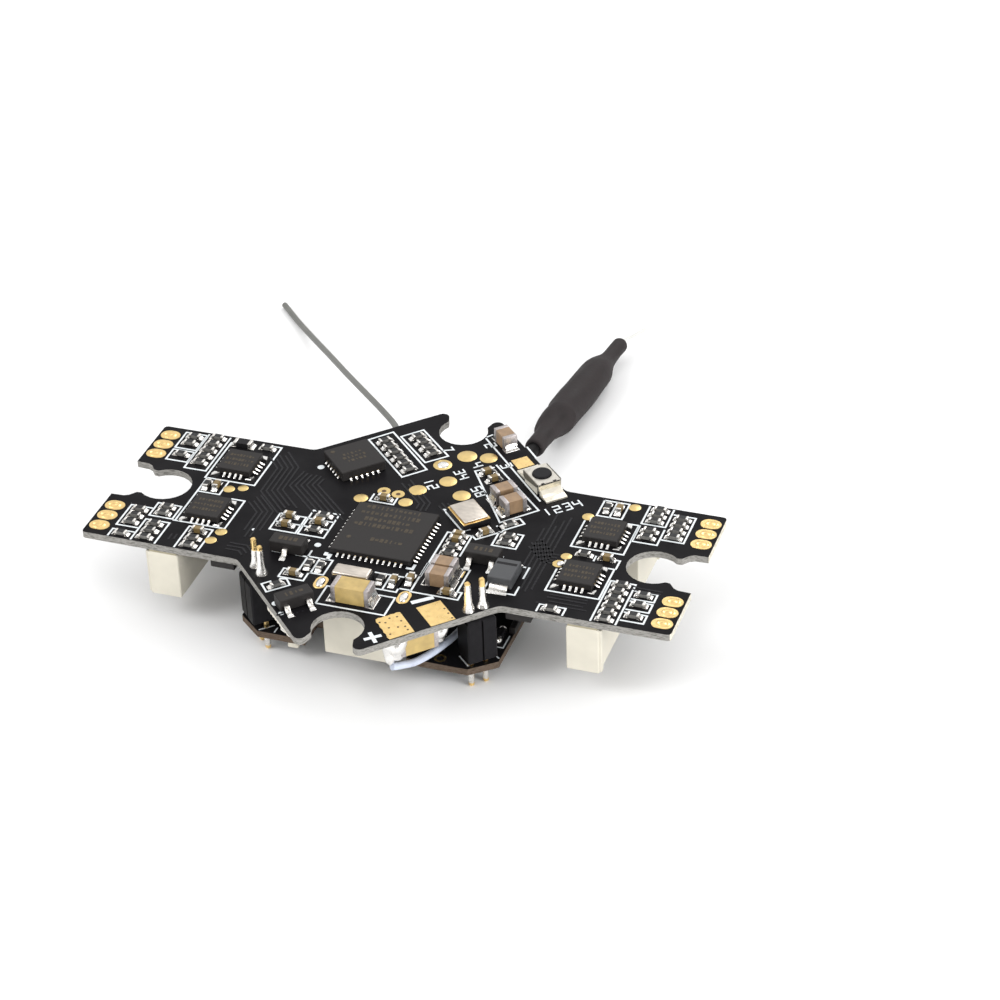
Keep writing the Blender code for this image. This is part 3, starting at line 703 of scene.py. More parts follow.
def antenna_sleeve():
    """Shrink sleeve over the cable's end, with a folded shoulder and two narrow necks."""
    axis = SLEEVE_END - SLEEVE_START
    sides = 44
    fold_side = math.radians(-25)       # the shoulder starts earlier and steeper on this side
    shape = bmesh.new()
    rings = []
    for along, radius in ((0.0, SLEEVE_BORE), *SLEEVE_ROWS, (21.04, SLEEVE_BORE)):
        loop = []
        for k in range(sides):
            angle = 2 * math.pi * k / sides
            lean = math.cos(angle - fold_side)
            crease = 0.03 * math.sin(2 * angle + along * 0.7) + 0.02 * math.sin(5 * angle - along)
            fat = radius
            if 0.3 < along < 20.6:
                fat = min(radius * (1 + crease - 0.035), 1.6)
            fat -= 0.2 * max(lean, 0.0) * math.exp(-((along - 6.25) / 0.3) ** 2)
            slide = 1.3 * lean * math.exp(-((along - 4.4) / 1.3) ** 2)
            loop.append(shape.verts.new((fat * math.cos(angle), fat * math.sin(angle),
                                         along - slide)))
        rings.append(loop)
    for lower, upper in zip(rings, rings[1:] + rings[:1]):
        band(shape, lower, upper)
    matrix = Matrix.Translation(SLEEVE_START) @ axis.to_track_quat("Z", "Y").to_matrix().to_4x4()
    piece = Piece("antenna_shrink_sleeve", "heat_shrink")
    piece.add(shape, SHRINK, matrix)
    return piece.build(60.0, ("antenna_sleeve",))


def cords():
    receiver, points = wire("receiver_antenna_wire", RECEIVER_ROUTE, RECEIVER_WIRE, 40, GREY_WIRE,
                            "receiver_antenna")
    sleeve = antenna_sleeve()
    element, _ = wire("antenna_element", ELEMENT_ROUTE, ELEMENT, 8, PALE_STRAND,
                      "video_antenna_element")
    coax, points = wire("video_coax", COAX_ROUTE, COAX, 40, COAX_JACKET,
                        "video_antenna_coax")
    wire("jumper_wire", JUMPER_ROUTE, JUMPER_WIRE, 30, CLEAR_WIRE,
         "power_jumper_wire")


cords()


# ---------------------------------------------------------------- chips and their solder

LEAD_PITCH = 0.5
MARK_HEIGHT = 0.012


def chip_leads(name, centre, half, count, turn, outwards, high, width):
    """Four rows of solder-wetted pads round a flat leadless chip."""
    piece = Piece(name + "_leads", "tinned_metal")
    for side in range(4):
        for k in range(count):
            along = (k - (count - 1) / 2) * LEAD_PITCH
            matrix = spot(*centre, TOP, turn) @ spin(90 * side) @ shift(half + 0.01, along, 0.01)
            piece.add(fillet(outwards, width, high), SOLDER, matrix)
            tab = block(0.03, width * 0.9, high * 0.9)
            piece.add(tab, BRIGHT_GOLD, matrix @ shift(-0.005, 0, 0.03))
    return piece


def corner_drops(piece, centre, half):
    """Solder on the corner pads of a small chip."""
    size = 0.42
    for sign_x in (-1, 1):
        for sign_y in (-1, 1):
            outline = [(-size, -size * 0.55), (size * 0.4, -size * 0.55), (size * 0.55, size * 0.4),
                       (size * 0.55, size), (0.0, size * 0.6)]
            if sign_x * sign_y > 0:
                outline = [(x, -y) for x, y in reversed(outline)]
            if sign_x < 0:
                outline = [(-x, y) for x, y in reversed(outline)]
            corner = shift(sign_x * (half + 0.12), sign_y * (half + 0.16), 0.01)
            piece.add(prism(outline, 0.14, 0.05), SOLDER, spot(*centre, TOP) @ corner)


def marking(name, node, *groups):
    """Faint dashes on a chip's top, in place of printing, and its pin 1 dot. A group has a centre,
    a turn, the dashes in each row, their height, gap and pitch, and the place of the dot."""
    piece = Piece(name + "_marking", "chip_plastic")
    for centre, turn, rows, (height, gap, pitch), dot in groups:
        base = spot(*centre, node_box(node)[1][2] - MARK_SINK, turn)
        for row, count in enumerate(rows):
            y = ((len(rows) - 1) / 2 - row) * (height + gap)
            for k in range(count):
                x = (k - (count - 1) / 2) * pitch
                width = pitch * random.choice((0.3, 0.55, 0.75, 0.75))
                tall = height * random.choice((0.6, 1.0, 1.0))
                piece.add(block(width, tall, MARK_HEIGHT), MARKING, base @ shift(x, y, 0))
        if dot:
            piece.add(disc(0.2, MARK_HEIGHT, 20), MARKING, base @ shift(*dot, 0))
    piece.build()


QFN_DRIVERS = {
    "motor_driver_front_left": (-16.25, -2.75),
    "motor_driver_front_right": (16.15, -3.15),
    "motor_driver_back_left": (-16.4, 4.3),
    "motor_driver_back_right": (16.3, 3.2)}


# Three-legged packages: centre, turn, and how many of the legs are on the front side
THREE_LEGGED = {
    "regulator_left": ((-7.7, -6.0), 0, 1), "regulator_right": ((8.0, -2.95), 0, 2),
    "transistor_front": ((-4.45, -12.8), DIAGONAL, 2)}
GYRO_AT = (-7.1, 7.25)
DIODE_AT = (10.45, -4.95)


def chips():
    recoat(MOULD, "processor_chip", "motion_sensor_chip", "receiver_chip", "display_chip",
           "transmitter_chip", *THREE_LEGGED, *QFN_DRIVERS)
    recoat(DIODE_MOULD, "power_diode")

    chip_leads("processor", (-0.86, -2.02), 3.5, 12, 0, 0.36, 0.2, 0.17).build()
    marking("processor", "processor_chip",
            ((-1.15, -0.3), 0, (12, 13, 10, 13), (0.52, 0.32, 0.4), (-2.25, -3.3)),
            ((-0.2, -3.45), 0, (7,), (0.5, 0.2, 0.4), None))

    for node, centre in QFN_DRIVERS.items():
        leads = chip_leads(node, centre, 1.5, 4, 0, 0.42, 0.26, 0.2)
        corner_drops(leads, centre, 1.5)
        leads.build()
        marking(node, node, (centre, 0, (8, 9, 8), (0.36, 0.3, 0.28), None))

    chip_leads("motion_sensor", GYRO_AT, 2.0, 6, DIAGONAL, 0.16, 0.3, 0.2).build()
    marking("motion_sensor", "motion_sensor_chip",
            (GYRO_AT, DIAGONAL, (5, 6, 5), (0.33, 0.2, 0.36), (-1.4, 1.4)))

    for node, (centre, turn, front) in THREE_LEGGED.items():
        legs = Piece(node + "_legs", "tinned_metal")
        for side, number in ((-90, front), (90, 3 - front)):
            for along in ((0.0,) if number == 1 else (-0.95, 0.95)):
                matrix = spot(*centre, TOP, turn) @ spin(side) @ shift(1.35 / 2, along, 0.02)
                legs.add(gull_leg(0.72, 0.5, 0.42), TIN, matrix)
                legs.add(fillet(0.3, 0.5, 0.1), SOLDER, matrix @ shift(0.72, 0, 0))
        legs.build()
        marking(node, node, (centre, turn, (4,), (0.5, 0.2, 0.42), None))

    legs = Piece("power_diode_legs", "tinned_metal")
    for side in (-90, 90):
        matrix = spot(*DIODE_AT, TOP) @ spin(side) @ shift(1.35, 0, 0.02)
        legs.add(gull_leg(0.62, 0.35, 1.5, 0.16), TIN, matrix)
        legs.add(fillet(0.25, 1.7, 0.14), SOLDER, matrix @ shift(0.6, 0, 0))
    legs.build()
    stripe = Piece("power_diode_band", "chip_plastic")
    top = node_box("power_diode")[1][2] - MARK_SINK
    stripe.add(block(1.7, 0.3, MARK_HEIGHT), SMOOTH_MOULD, spot(DIODE_AT[0], -4.25, top))
    stripe.build()


# kind: length, width, height, length of an end cap, material of the body
PART_SIZES = {
    "resistor": (1.0, 0.5, 0.34, 0.2, ALUMINA),
    "small": (1.0, 0.5, 0.5, 0.22, KHAKI),
    "bead": (1.6, 0.8, 0.45, 0.3, SMOOTH_MOULD),
    "large": (2.0, 1.25, 1.25, 0.4, BROWN),
    "tan": (3.2, 1.65, 1.5, 0.38, TAN)}


def chip_part(name, kind, x, y, turn, z=TOP, flip=False):
    """A small two-ended part on its pads, with solder at both ends."""
    length, width, height, cap, body = PART_SIZES[kind]
    piece = Piece(name, "tinned_metal")
    base = spot(x, y, z, turn)
    if flip:
        base = base @ spin(180, "X")
    lift = shift(0, 0, PART_LIFT)
    inner = length - 2 * cap + 0.02
    piece.add(block(inner, width - 0.03, height - 0.02, 0.02), body, base @ lift)
    if kind == "resistor":
        piece.add(block(inner - 0.04, width - 0.06, 0.03, 0.008), GLAZE,
                  base @ shift(0, 0, height + 0.01))
    for sign in (-1, 1):
        end = base @ spin(0 if sign > 0 else 180)
        middle = shift(length / 2 - cap / 2, 0, PART_LIFT)
        plating = TERMINAL if kind in ("large", "tan") else TIN
        piece.add(block(cap, width, height, min(0.05, width / 8), 2), plating, end @ middle)
        reach = min(0.2 + 0.14 * height, 0.5) * random.uniform(0.85, 1.15)
        climb = 0.62 * random.uniform(0.8, 1.15)
        piece.add(fillet(reach, width * random.uniform(0.86, 1.0), height * climb), SOLDER,
                  end @ shift(length / 2 - 0.01, 0, 0.01))
        pad = block(cap + reach, width * 1.06, 0.03)
        piece.add(pad, SOLDER, end @ shift(length / 2 + (reach - cap) / 2 + 0.03, 0, 0))
    return piece


def column(x, *ys):
    return tuple((x, y) for y in ys)


# Small parts on the upper face: kind, turn, and their places
SMALL_PARTS = (
    # left arm, back
    ("resistor", 0, column(-21.95, 7.35, 6.3, 4.5)),
    ("resistor", 0, column(-19.95, 7.75, 6.75, 5.75, 4.75, 3.75)),
    ("resistor", 0, ((-15.2, 7.4),)),
    ("bead", 0, ((-17.4, 7.35),)),
    # left arm, between the chips
    ("resistor", 90, ((-17.95, 0.8),)),
    ("small", 90, ((-17.05, 0.8),)),
    # left arm, front
    ("resistor", 0, column(-21.85, -4.2, -5.15, -6.1, -7.85)),
    ("resistor", 0, column(-19.75, -3.25, -4.15, -5.8, -6.8, -7.8)),
    ("small", 0, ((-15.85, -5.8),)),
    ("resistor", 0, column(-15.85, -6.85, -7.85)),
    # right arm, back
    ("resistor", 90, ((15.4, 6.9),)),
    ("small", 90, ((16.4, 6.9),)),
    ("resistor", 0, column(19.65, 7.8, 6.95, 6.1, 4.65, 3.7)),
    ("resistor", 0, column(21.75, 7.0, 6.1, 5.2, 4.3)),
    # right arm, between the chips
    ("resistor", 0, ((15.55, 0.0),)),
    ("small", 0, ((17.5, -0.1),)),
    # right arm, front
    ("resistor", 0, column(19.65, -3.2, -4.15, -5.1, -6.05, -7.0, -7.95)),
    ("resistor", 0, column(21.75, -4.1, -5.4, -6.95)),
    ("resistor", 0, ((15.25, -7.9),)),
    # two slanted groups behind the processor
    ("resistor", 45, ((-5.95, 11.3), (-5.25, 10.6), (-4.55, 9.9), (-3.85, 9.2), (-3.15, 8.5),
        (-2.45, 7.8))),
    ("resistor", 45, ((-3.45, 12.75), (-2.75, 12.05), (-2.05, 11.35), (-1.35, 10.65))),
    # left of the processor
    ("small", 0, ((-9.4, -1.65), (-9.3, -2.9))),
    ("resistor", 0, column(-6.75, -0.75, -2.9)),
    ("small", 0, ((-6.75, -1.8),)),
    # behind the processor
    ("small", 0, ((-2.85, 3.0),)),
    # right of the processor
    ("small", 0, column(4.95, -0.35, -1.1)),
    ("resistor", 0, column(4.95, -1.95, -2.9)),
    ("small", 0, ((6.7, -8.15),)),
    ("resistor", 90, ((-5.3, -7.65), (-4.3, -7.65), (1.0, -7.9))),
    ("small", 90, ((2.1, -7.9), (3.3, -7.25))),
    ("small", 0, ((-6.05, -9.15),)),
    ("resistor", 45, ((-6.75, -11.0),)),
    # round the main crystal
    ("small", 45, ((6.85, 0.65),)),
    ("resistor", 45, ((8.35, 2.35),)),
    ("resistor", 0, column(8.9, 0.7, -0.25)),
    # video strip beside the button
    ("small", 45, ((4.1, 9.15), (5.0, 8.3))))


def small_parts():
    count = {}
    for kind, turn, places in SMALL_PARTS:
        label = "resistor" if kind == "resistor" else "capacitor_chip"
        for x, y in places:
            count[label] = count.get(label, 0) + 1
            chip_part(f"{label}_{count[label]:02d}", kind, x, y, turn).build()


LARGE_PARTS = (
    ("capacitor_input_top", "tan", -0.15, -10.95, 0),
    ("capacitor_core_1", "large", 5.6, -5.5, 0),
    ("capacitor_core_2", "large", 5.65, -6.95, 0),
    ("capacitor_video_1", "large", 6.7, 5.95, 45),
    ("capacitor_video_2", "large", 7.95, 4.6, 45),
    ("capacitor_tail", "large", 4.15, 13.9, -45))


def large_parts():
    for node, kind, x, y, turn in LARGE_PARTS:
        piece = chip_part(node + "_body", kind, x, y, turn)
        piece.slot = "tan_ceramic" if kind == "tan" else "brown_ceramic"
        piece.build(replaces=(node,))
    piece = chip_part("capacitor_input_below_body", "tan", 5.7, -12.75, 45, UNDER, True)
    piece.slot = "tan_ceramic"
    for x, y, length, width, drop in ((4.55, -14.0, 1.0, 0.95, 2.15), (4.1, -14.35, 0.6, 0.6, 2.6),
                                      (7.15, -11.3, 0.75, 0.85, 1.75), (7.4, -11.0, 0.5, 0.5, 1.2)):
        piece.add(lumpy(length, width, drop), SOLDER,
                  spot(x, y, UNDER + 0.02, 45) @ spin(180, "X"))
    piece.build(replaces=("capacitor_input_below",))


def crystals():
    crystal = Piece("crystal_main_can", "steel")
    at = spot(4.85, 2.45, TOP + PART_LIFT, -DIAGONAL)
    crystal.add(block(3.2, 2.5, 0.42, 0.06), SMOOTH_MOULD, at)
    crystal.add(block(3.14, 2.44, 0.1, 0.03), BRIGHT_GOLD, at @ shift(0, 0, 0.42))
    crystal.add(block(2.9, 2.2, 0.2, 0.08, 3), LID, at @ shift(0, 0, 0.52))
    crystal.build(replaces=("crystal_main",))
    clock = Piece("crystal_clock_can", "steel")
    at = spot(-1.2, -8.45, TOP + PART_LIFT)
    clock.add(block(3.2, 1.5, 0.5, 0.06), SMOOTH_MOULD, at)
    clock.add(block(3.06, 1.36, 0.42, 0.16, 3), LID, at @ shift(0, 0, 0.48))
    clock.build(replaces=("crystal_clock",))


BUTTON_AT = (9.1, 8.78)
BUTTON_HALF, BUTTON_WIDTH = 1.38, 2.06      # half of its length, and its width
# Side view of a terminal's soldered foot: distance outwards, and height
TERMINAL_FOOT = (
    (0.0, 0.0), (1.34, 0.0), (1.36, 0.1), (1.2, 0.17), (0.8, 0.22), (0.5, 0.3), (0.3, 0.42),
    (0.16, 0.56), (0.0, 0.58))
COVER_FLAP = ((-1.3, 0.0), (1.3, 0.0), (1.2, -0.3), (-0.9, -0.62), (-1.2, -0.5))


def button():
    recoat(GREY_BASE, "button_base")
    recoat(COVER, "button_cover")
    recoat(BLACK_KNOB, "button_plunger")
    recoat(SHELL, "button_dome")
    recoat(CREAM_TIN, "button_terminal_front", "button_terminal_back")
    details = Piece("button_details", "steel")
    top = node_box("button_cover")[1][2]
    foot = node_box("button_base")[0][2]
    middle = spot(*BUTTON_AT, 0, -DIAGONAL)
    half, width, height = BUTTON_HALF, BUTTON_WIDTH, top - foot
    for across in (-0.62, 0.5):     # slots where the front end of the cover is folded down
        slot = middle @ shift(half - 0.03, across, top - 0.1)
        details.add(block(0.09, 0.3, 0.112), BLACK_KNOB, slot)
    for end in (180, 0):            # the two terminals: a panel, a waist and a wide soldered foot
        at = middle @ spin(end) @ shift(half, 0, foot)
        gap = block(0.05, width - 0.04, 0.1)
        details.add(gap, BLACK_KNOB, at @ shift(0, 0, height - 0.15))
        right = ((0.74, 0.1), (0.82, 0.38), (width / 2, 0.45), (width / 2, height - 0.16))
        left = [(-x, y) for x, y in reversed(right)]
        panel = prism((*left[1:], *right, left[0]), 0.07)
        details.add(panel, BUTTON_PANEL, at @ (spin(90) @ spin(90, "X")))
        details.add(swept(TERMINAL_FOOT, 1.9, 0.03), CREAM_TIN, at)
    for side in (0, 180):           # the cover's side flap, in painted shade, over a pale panel of the base
        at = middle @ spin(side)
        panel = block(2.3, 0.06, 0.74, 0.02)
        details.add(panel, CREAM, at @ shift(0, -width / 2 - 0.01, foot))
        flap = at @ shift(0, -width / 2 - 0.04, top - 0.04) @ spin(90, "X")
        details.add(prism(COVER_FLAP, 0.06), FLAP_IN_SHADE, flap)
    details.build()


# ---------------------------------------------------------------- pads



def round_pad(piece, x, y, radius):
    piece.add(turned(((0.0, 0.03), (radius - 0.05, 0.03), (radius, 0.01), (radius, -0.01)), 36),
              GOLD, spot(x, y, TOP))


def oval(half_length, half_width):
    """Outline of a pad with round ends, long along x."""
    points = []
    for side, start in ((1, -90), (-1, 90)):
        for step in range(11):
            angle = math.radians(start + 180 * step / 10)
            points.append((side * (half_length - half_width) + half_width * math.cos(angle),
                           half_width * math.sin(angle)))
    return points


MOTOR_PAD_X = 24.15
MOTOR_PAD_YS = (4.13, 5.63, 7.14)
# A plated hole that has filled: a raised rim, a dip, and a low dome
PAD_EYELET = (
    (0.0, 0.09), (0.12, 0.07), (0.2, 0.02), (0.27, 0.02), (0.36, 0.075), (0.44, 0.05), (0.5, 0.0))


def motor_pads():
    for corner, side_sign, row_sign in CORNERS:
        piece = Piece("motor_pads_" + corner, "gold_pin")
        for y in MOTOR_PAD_YS:
            at = spot(side_sign * MOTOR_PAD_X, row_sign * y, PAD_BASE)
            piece.add(prism(oval(0.88, 0.66), 0.045, 0.02), BRIGHT_GOLD, at)
            rim = at @ shift(0.08 * side_sign, 0, 0.035) @ Matrix.Diagonal((1.25, 1, 1, 1))
            piece.add(turned(PAD_EYELET, 24), BRIGHT_GOLD, rim)
        piece.build()


ROUND_PADS = (
    (-4.8, 2.67, 0.6), (-1.0, 3.12, 0.6), (-0.65, 5.12, 0.75), (1.35, 7.07, 0.75),
    (3.15, 5.37, 0.75), (1.6, 11.17, 0.85), (3.45, 11.42, 0.76), (-15.95, 0.82, 0.5),
    (-14.85, 1.27, 0.45), (-14.05, -5.23, 0.5), (-14.4, -6.58, 0.5), (17.5, 7.72, 0.5),
    (14.2, 5.37, 0.5), (14.2, -0.53, 0.45))


def pads():
    piece = Piece("test_pads", "gold_pin")
    for x, y, radius in ROUND_PADS:
        round_pad(piece, x, y, radius)
    # gold rings round via holes, each hole filled by a disc of painted shade
    for x, y in ((-3.3, 4.17), (-2.0, 4.07)):
        piece.add(tube_ring(0.55, 0.2, 0.035), GOLD, spot(x, y, PAD_BASE))
        piece.add(disc(0.22, 0.01, 16), VIA_HOLE_SHADE, spot(x, y, TOP))
    piece.build()

    filled = Piece("solder_filled_pads", "gold_pin")
    round_pad(filled, 0.05, 9.32, 0.8)
    filled.add(mound(0.5, 0.5, 0.14), SOLDER, spot(0.1, 9.32, TOP + 0.02))
    round_pad(filled, 13.9, -1.68, 0.5)
    filled.add(mound(0.34, 0.34, 0.2), SOLDER, spot(14.1, -1.7, TOP + 0.02))
    for x, y in ((-3.5, -9.55), (3.6, -9.6)):
        filled.add(prism(oval(0.85, 0.52), 0.035, 0.015), BRIGHT_GOLD, spot(x, y, PAD_BASE, 90))
        filled.add(mound(0.66, 0.36, 0.22), SOLDER, spot(x, y, TOP + 0.02, 90))
    filled.build()

    battery = Piece("battery_pads", "gold_pin")
    minus = [(5.0, -10.63), (6.5, -9.13), (8.5, -11.13), (7.0, -12.63)]
    battery.add(prism(minus[::-1], 0.035, 0.02), BRIGHT_GOLD, spot(0, 0, PAD_BASE))
    start, end = Vector((2.5, -13.03)), Vector((4.5, -15.13))
    across = Vector((1.5, 1.5))
    edge = [start, start + across, end + across, end]
    outline = []
    for k, corner in enumerate(edge):
        after = edge[(k + 1) % 4]
        for step in range(8):
            point = corner.lerp(after, step / 8)
            normal = Vector((-(after - corner).y, (after - corner).x)).normalized()
            bite = 0.1 if step % 2 and k in (0, 3) else 0.0
            outline.append(tuple(point + normal * bite))
    battery.add(prism(outline[::-1], 0.035, 0.015), BRIGHT_GOLD, spot(0, 0, PAD_BASE))
    # vias in the battery pads, as dots of painted shade
    for x, y in ((7.2, -10.1), (7.7, -10.6), (8.2, -11.1), (3.5, -12.55), (4.0, -12.2),
                 (4.5, -12.6), (5.05, -13.2), (3.4, -13.2), (3.9, -13.75), (4.55, -13.45),
                 (4.3, -14.5), (5.4, -13.55), (2.95, -13.3)):
        battery.add(disc(0.09, 0.012, 12), VIA_HOLE_SHADE, spot(x, y, TOP + 0.025))
    battery.build()

    tail = Piece("tail_pads", "gold_pin")
    tail.add(block(1.5, 1.5, 0.035, 0.01), BRIGHT_GOLD, spot(6.45, 11.55, PAD_BASE, 45))
    tail.add(block(0.55, 0.9, 0.03, 0.01), GOLD, spot(6.85, -5.3, TOP - SINK))
    tail.build()


# How high the solder has climbed each pin of a pair, from the first pin to the second
SOLDER_CLIMB = {"left": (1.38, 0.92), "right": (1.42, 1.16)}
# Outlines of the solder on a pin: radius, and height from the board
PIN_SOLDER = ((0.24, 1.7), (0.27, 1.55), (0.29, 1.0), (0.34, 0.5), (0.47, 0.16), (0.54, 0.0))
PIN_SOLDER_BELOW = ((0.38, 0.0), (0.3, -0.12), (0.26, -0.5), (0.26, -1.1), (0.2, -1.25))


def header_solder():
    """Solder that has climbed the header pins, above and below the boards."""
    for side in ("left", "right"):
        piece = Piece(f"header_solder_{side}", "tinned_metal")
        for number in (1, 2):
            node = f"header_pin_{side}_{number}"
            recoat(BRIGHT_GOLD, node)
            (x0, y0, _), (x1, y1, _) = node_box(node)
            x, y = (x0 + x1) / 2, (y0 + y1) / 2
            climb = random.uniform(0.85, 1.05) * SOLDER_CLIMB[side][number - 1]
            upper = [(radius, height * climb) for radius, height in PIN_SOLDER]
            piece.add(turned(upper, 20), SOLDER, spot(x, y, TOP - SINK))
            piece.add(turned(PIN_SOLDER_BELOW, 20), TIN, spot(x, y, LOWER_UNDER + SINK))
        piece.build()
        recoat(STRIP_MOULD, f"header_strip_{side}")


# ---------------------------------------------------------------- printed lines

INK_WIDTH = 0.155
INK_HEIGHT = 0.018


def ink_lines(piece, lines, z=TOP):
    for points, closed, width in lines:
        piece.add(strip(points, width, INK_HEIGHT, closed), INK, spot(0, 0, z - SINK))


DIGITS = {
    1: (((0.5, 0), (0.5, 1)),),
    2: (((0, 1), (1, 1), (1, 0.5), (0, 0.5), (0, 0), (1, 0)),),
    3: (((0, 1), (1, 1), (1, 0), (0, 0)), ((0.2, 0.5), (1, 0.5))),
    4: (((0, 1), (0, 0.5), (1, 0.5)), ((1, 1), (1, 0))),
    5: (((1, 1), (0, 1), (0, 0.5), (1, 0.5), (1, 0), (0, 0)),),
    7: (((0, 1), (1, 1), (0.4, 0)),),
    8: (((0, 0), (1, 0), (1, 1), (0, 1), (0, 0)), ((0, 0.5), (1, 0.5)))}


def numerals(piece, digits, x, y, turn, height):
    """A row of plain numerals, centred on (x, y)."""
    wide = height * 0.6
    for k, digit in enumerate(digits):
        start = (k - (len(digits) - 1) / 2) * (wide + 0.34) - wide / 2
        for stroke in DIGITS[digit]:
            points = [(start + px * wide, (py - 0.5) * height) for px, py in stroke]
            piece.add(strip(points, 0.135, INK_HEIGHT), INK, spot(x, y, TOP - SINK, turn))


def box(x0, y0, x1, y1):
    return [(x0, y0), (x1, y0), (x1, y1), (x0, y1)], True, INK_WIDTH


def path(*points, closed=False, width=INK_WIDTH):
    return points, closed, width


def bent(first, x, y, *turns):
    """A line from (x, y) that turns at right angles. It sets off along the axis that first names,
    and each further number is the x or the y where it turns next or ends."""
    points = [(x, y)]
    for k, value in enumerate(turns):
        x, y = (value, y) if (first == "x") == (k % 2 == 0) else (x, value)
        points.append((x, y))
    return path(*points)


ARM_LINES = (
    # left arm, back
    box(-23.0, 5.5, -21.05, 7.95),
    box(-23.0, 3.6, -21.05, 5.2),
    bent("y", -18.95, 8.2, 2.8, -20.95, 8.2),
    bent("x", -15.05, 7.95, -14.1, 1.9, -18.6, 7.6),
    bent("y", -18.4, 1.9, -4.7),
    bent("y", -16.4, 1.85, -0.2, -18.3),
    # left arm, front
    bent("x", -15.2, -0.5, -13.95, -4.75, -18.6),
    bent("x", -20.85, -3.65, -22.85, -6.65, -20.85),
    bent("x", -20.85, -7.3, -22.85, -8.35),
    box(-20.8, -4.65, -18.7, -2.75),
    bent("y", -20.8, -8.35, -5.25, -18.65, -8.35),
    bent("y", -16.9, -8.35, -5.2, -14.8, -8.35),
    # right arm, back
    bent("y", 14.8, 8.05, 5.75, 16.95, 8.05, 14.8),
    bent("y", 15.9, 5.75, 8.05),
    bent("y", 14.1, 4.8, 0.95, 18.55, 5.3, 17.6),
    bent("y", 18.65, 8.3, 5.65, 20.7, 8.3),
    bent("y", 18.65, 5.35, 3.0, 20.75, 5.3),
    bent("x", 20.85, 7.6, 22.75, 3.85, 20.85),
    bent("y", 16.5, 0.2, -0.55),
    bent("x", 18.1, 0.05, 18.55, -1.2),
    # right arm, front
    bent("y", 14.0, -2.4, -5.45, 18.45, -1.2, 17.5),
    bent("x", 19.2, -2.75, 18.65, -8.35),
    bent("x", 20.2, -2.75, 20.7, -8.35),
    *(bent("x", 20.85, high, 22.75, low, 20.85)
      for low, high in ((-4.65, -3.55), (-6.1, -4.95), (-7.6, -6.5))),
    bent("y", 14.2, -8.35, -7.35, 16.35, -8.35))

MIDDLE_LINES = (
    # round the two slanted groups
    path((-7.4, 11.27), (-5.8, 13.0), (-1.0, 8.27), (-2.6, 6.6), closed=True),
    path((-4.9, 12.5), (-3.4, 14.05), (0.05, 10.75), (-1.5, 9.25), closed=True),
    # left of the processor
    bent("y", -10.4, -1.3, -3.7, -8.1, -1.3, -10.4),
    bent("x", -10.4, -2.5, -8.1),
    bent("x", -7.2, -0.15, -7.9, -3.7, -5.6, -0.15, -6.2),
    bent("x", -7.9, -1.35, -5.6),
    bent("x", -7.9, -2.5, -5.6),
    bent("y", -3.95, 3.6, 2.5, -1.85, 3.6),
    # right of the processor
    bent("x", 4.3, 0.0, 3.85, -6.45, 2.8),
    bent("x", 5.5, 0.0, 5.95, -3.0),
    bent("x", 3.8, -4.6, 7.4, -7.7, 7.8, -8.7, 3.8, -4.6),
    bent("x", 3.85, -6.45, 2.75, -8.55, 3.8),
    bent("x", 0.15, -7.0, 1.55, -9.1, 0.4),
    bent("x", 1.6, -7.0, 2.75, -9.1, 1.6),
    bent("x", -5.85, -6.45, -3.7, -8.55, -5.85, -6.45),
    bent("y", -4.8, -6.45, -8.55),
    box(-7.1, -9.75, -4.95, -8.55),
    path((-6.9, -10.0), (-6.3, -9.9), (-5.75, -10.6), (-7.2, -12.0), (-8.0, -11.1), (-7.4, -10.5)),
    bent("y", -8.9, -6.3, -6.55, -8.2),
    bent("x", -6.9, -6.55, -5.85, -5.6),
    bent("y", -2.85, -12.3, -9.85, -2.2),
    bent("x", -2.85, -12.3, 2.95, -9.85, 1.3),
    # crystal, strip and diode
    path((3.2, 3.2), (2.4, 3.0), (4.95, 0.45), (5.5, 0.9)),
    bent("y", 7.9, 1.3, -0.75, 9.95, 1.3, 9.4),
    path((5.9, 0.1), (6.4, -0.35), (8.1, 1.3), (7.4, 2.0)),
    path((7.5, 1.9), (8.0, 1.4), (9.5, 2.9), (8.9, 3.5), (8.5, 3.2)),
    path((4.4, 10.2), (3.0, 9.2), (7.5, 2.5), (10.0, 5.1), (4.4, 10.6)),
    path((5.9, 5.0), (6.5, 4.4)),
    path((2.2, 14.5), (2.6, 15.0)),
    path((2.2, 14.3), (9.7, 6.4)),
    path((2.75, 15.1), (3.4, 14.4)),
    path((6.0, 14.0), (7.3, 12.6)),
    bent("x", 11.2, -2.95, 11.85, -4.5),
    bent("y", 9.3, -5.6, -6.8, 11.9, -5.6),
    path((9.25, -2.0), (9.25, -2.4), width=0.3),
    path((4.4, -10.1), (5.85, -8.9), width=0.42))

PROCESSOR_MARKS = (
    path((-4.6, -5.5), (-4.6, -5.8), (-4.2, -5.8), (-4.2, -6.5), width=0.3),
    path((2.9, -5.1), (2.9, -5.75), (2.35, -5.75), width=0.25))

INK_DOTS = (
    (-5.7, -4.73, 0.28), (-9.75, 6.1, 0.3), (-11.6, -4.15, 0.16), (-5.9, -13.25, 0.3),
    (-4.95, -14.35, 0.24))

# Plain numerals in place of the printed labels: digits, x, y, turn and height
LABELS = (
    ((1, 2), 0.1, 6.25, -47, 0.85), ((3, 4), 2.05, 8.4, -47, 0.85), ((5, 8), 4.3, 6.35, -47, 0.85),
    ((7,), -0.35, 11.7, -47, 0.9), ((4,), 2.85, 10.15, -47, 0.9), ((2,), 2.95, 13.35, -47, 0.9),
    ((3,), 5.25, 10.75, -47, 0.9), ((1, 2, 3, 4), 11.75, 6.0, 43, 0.95))


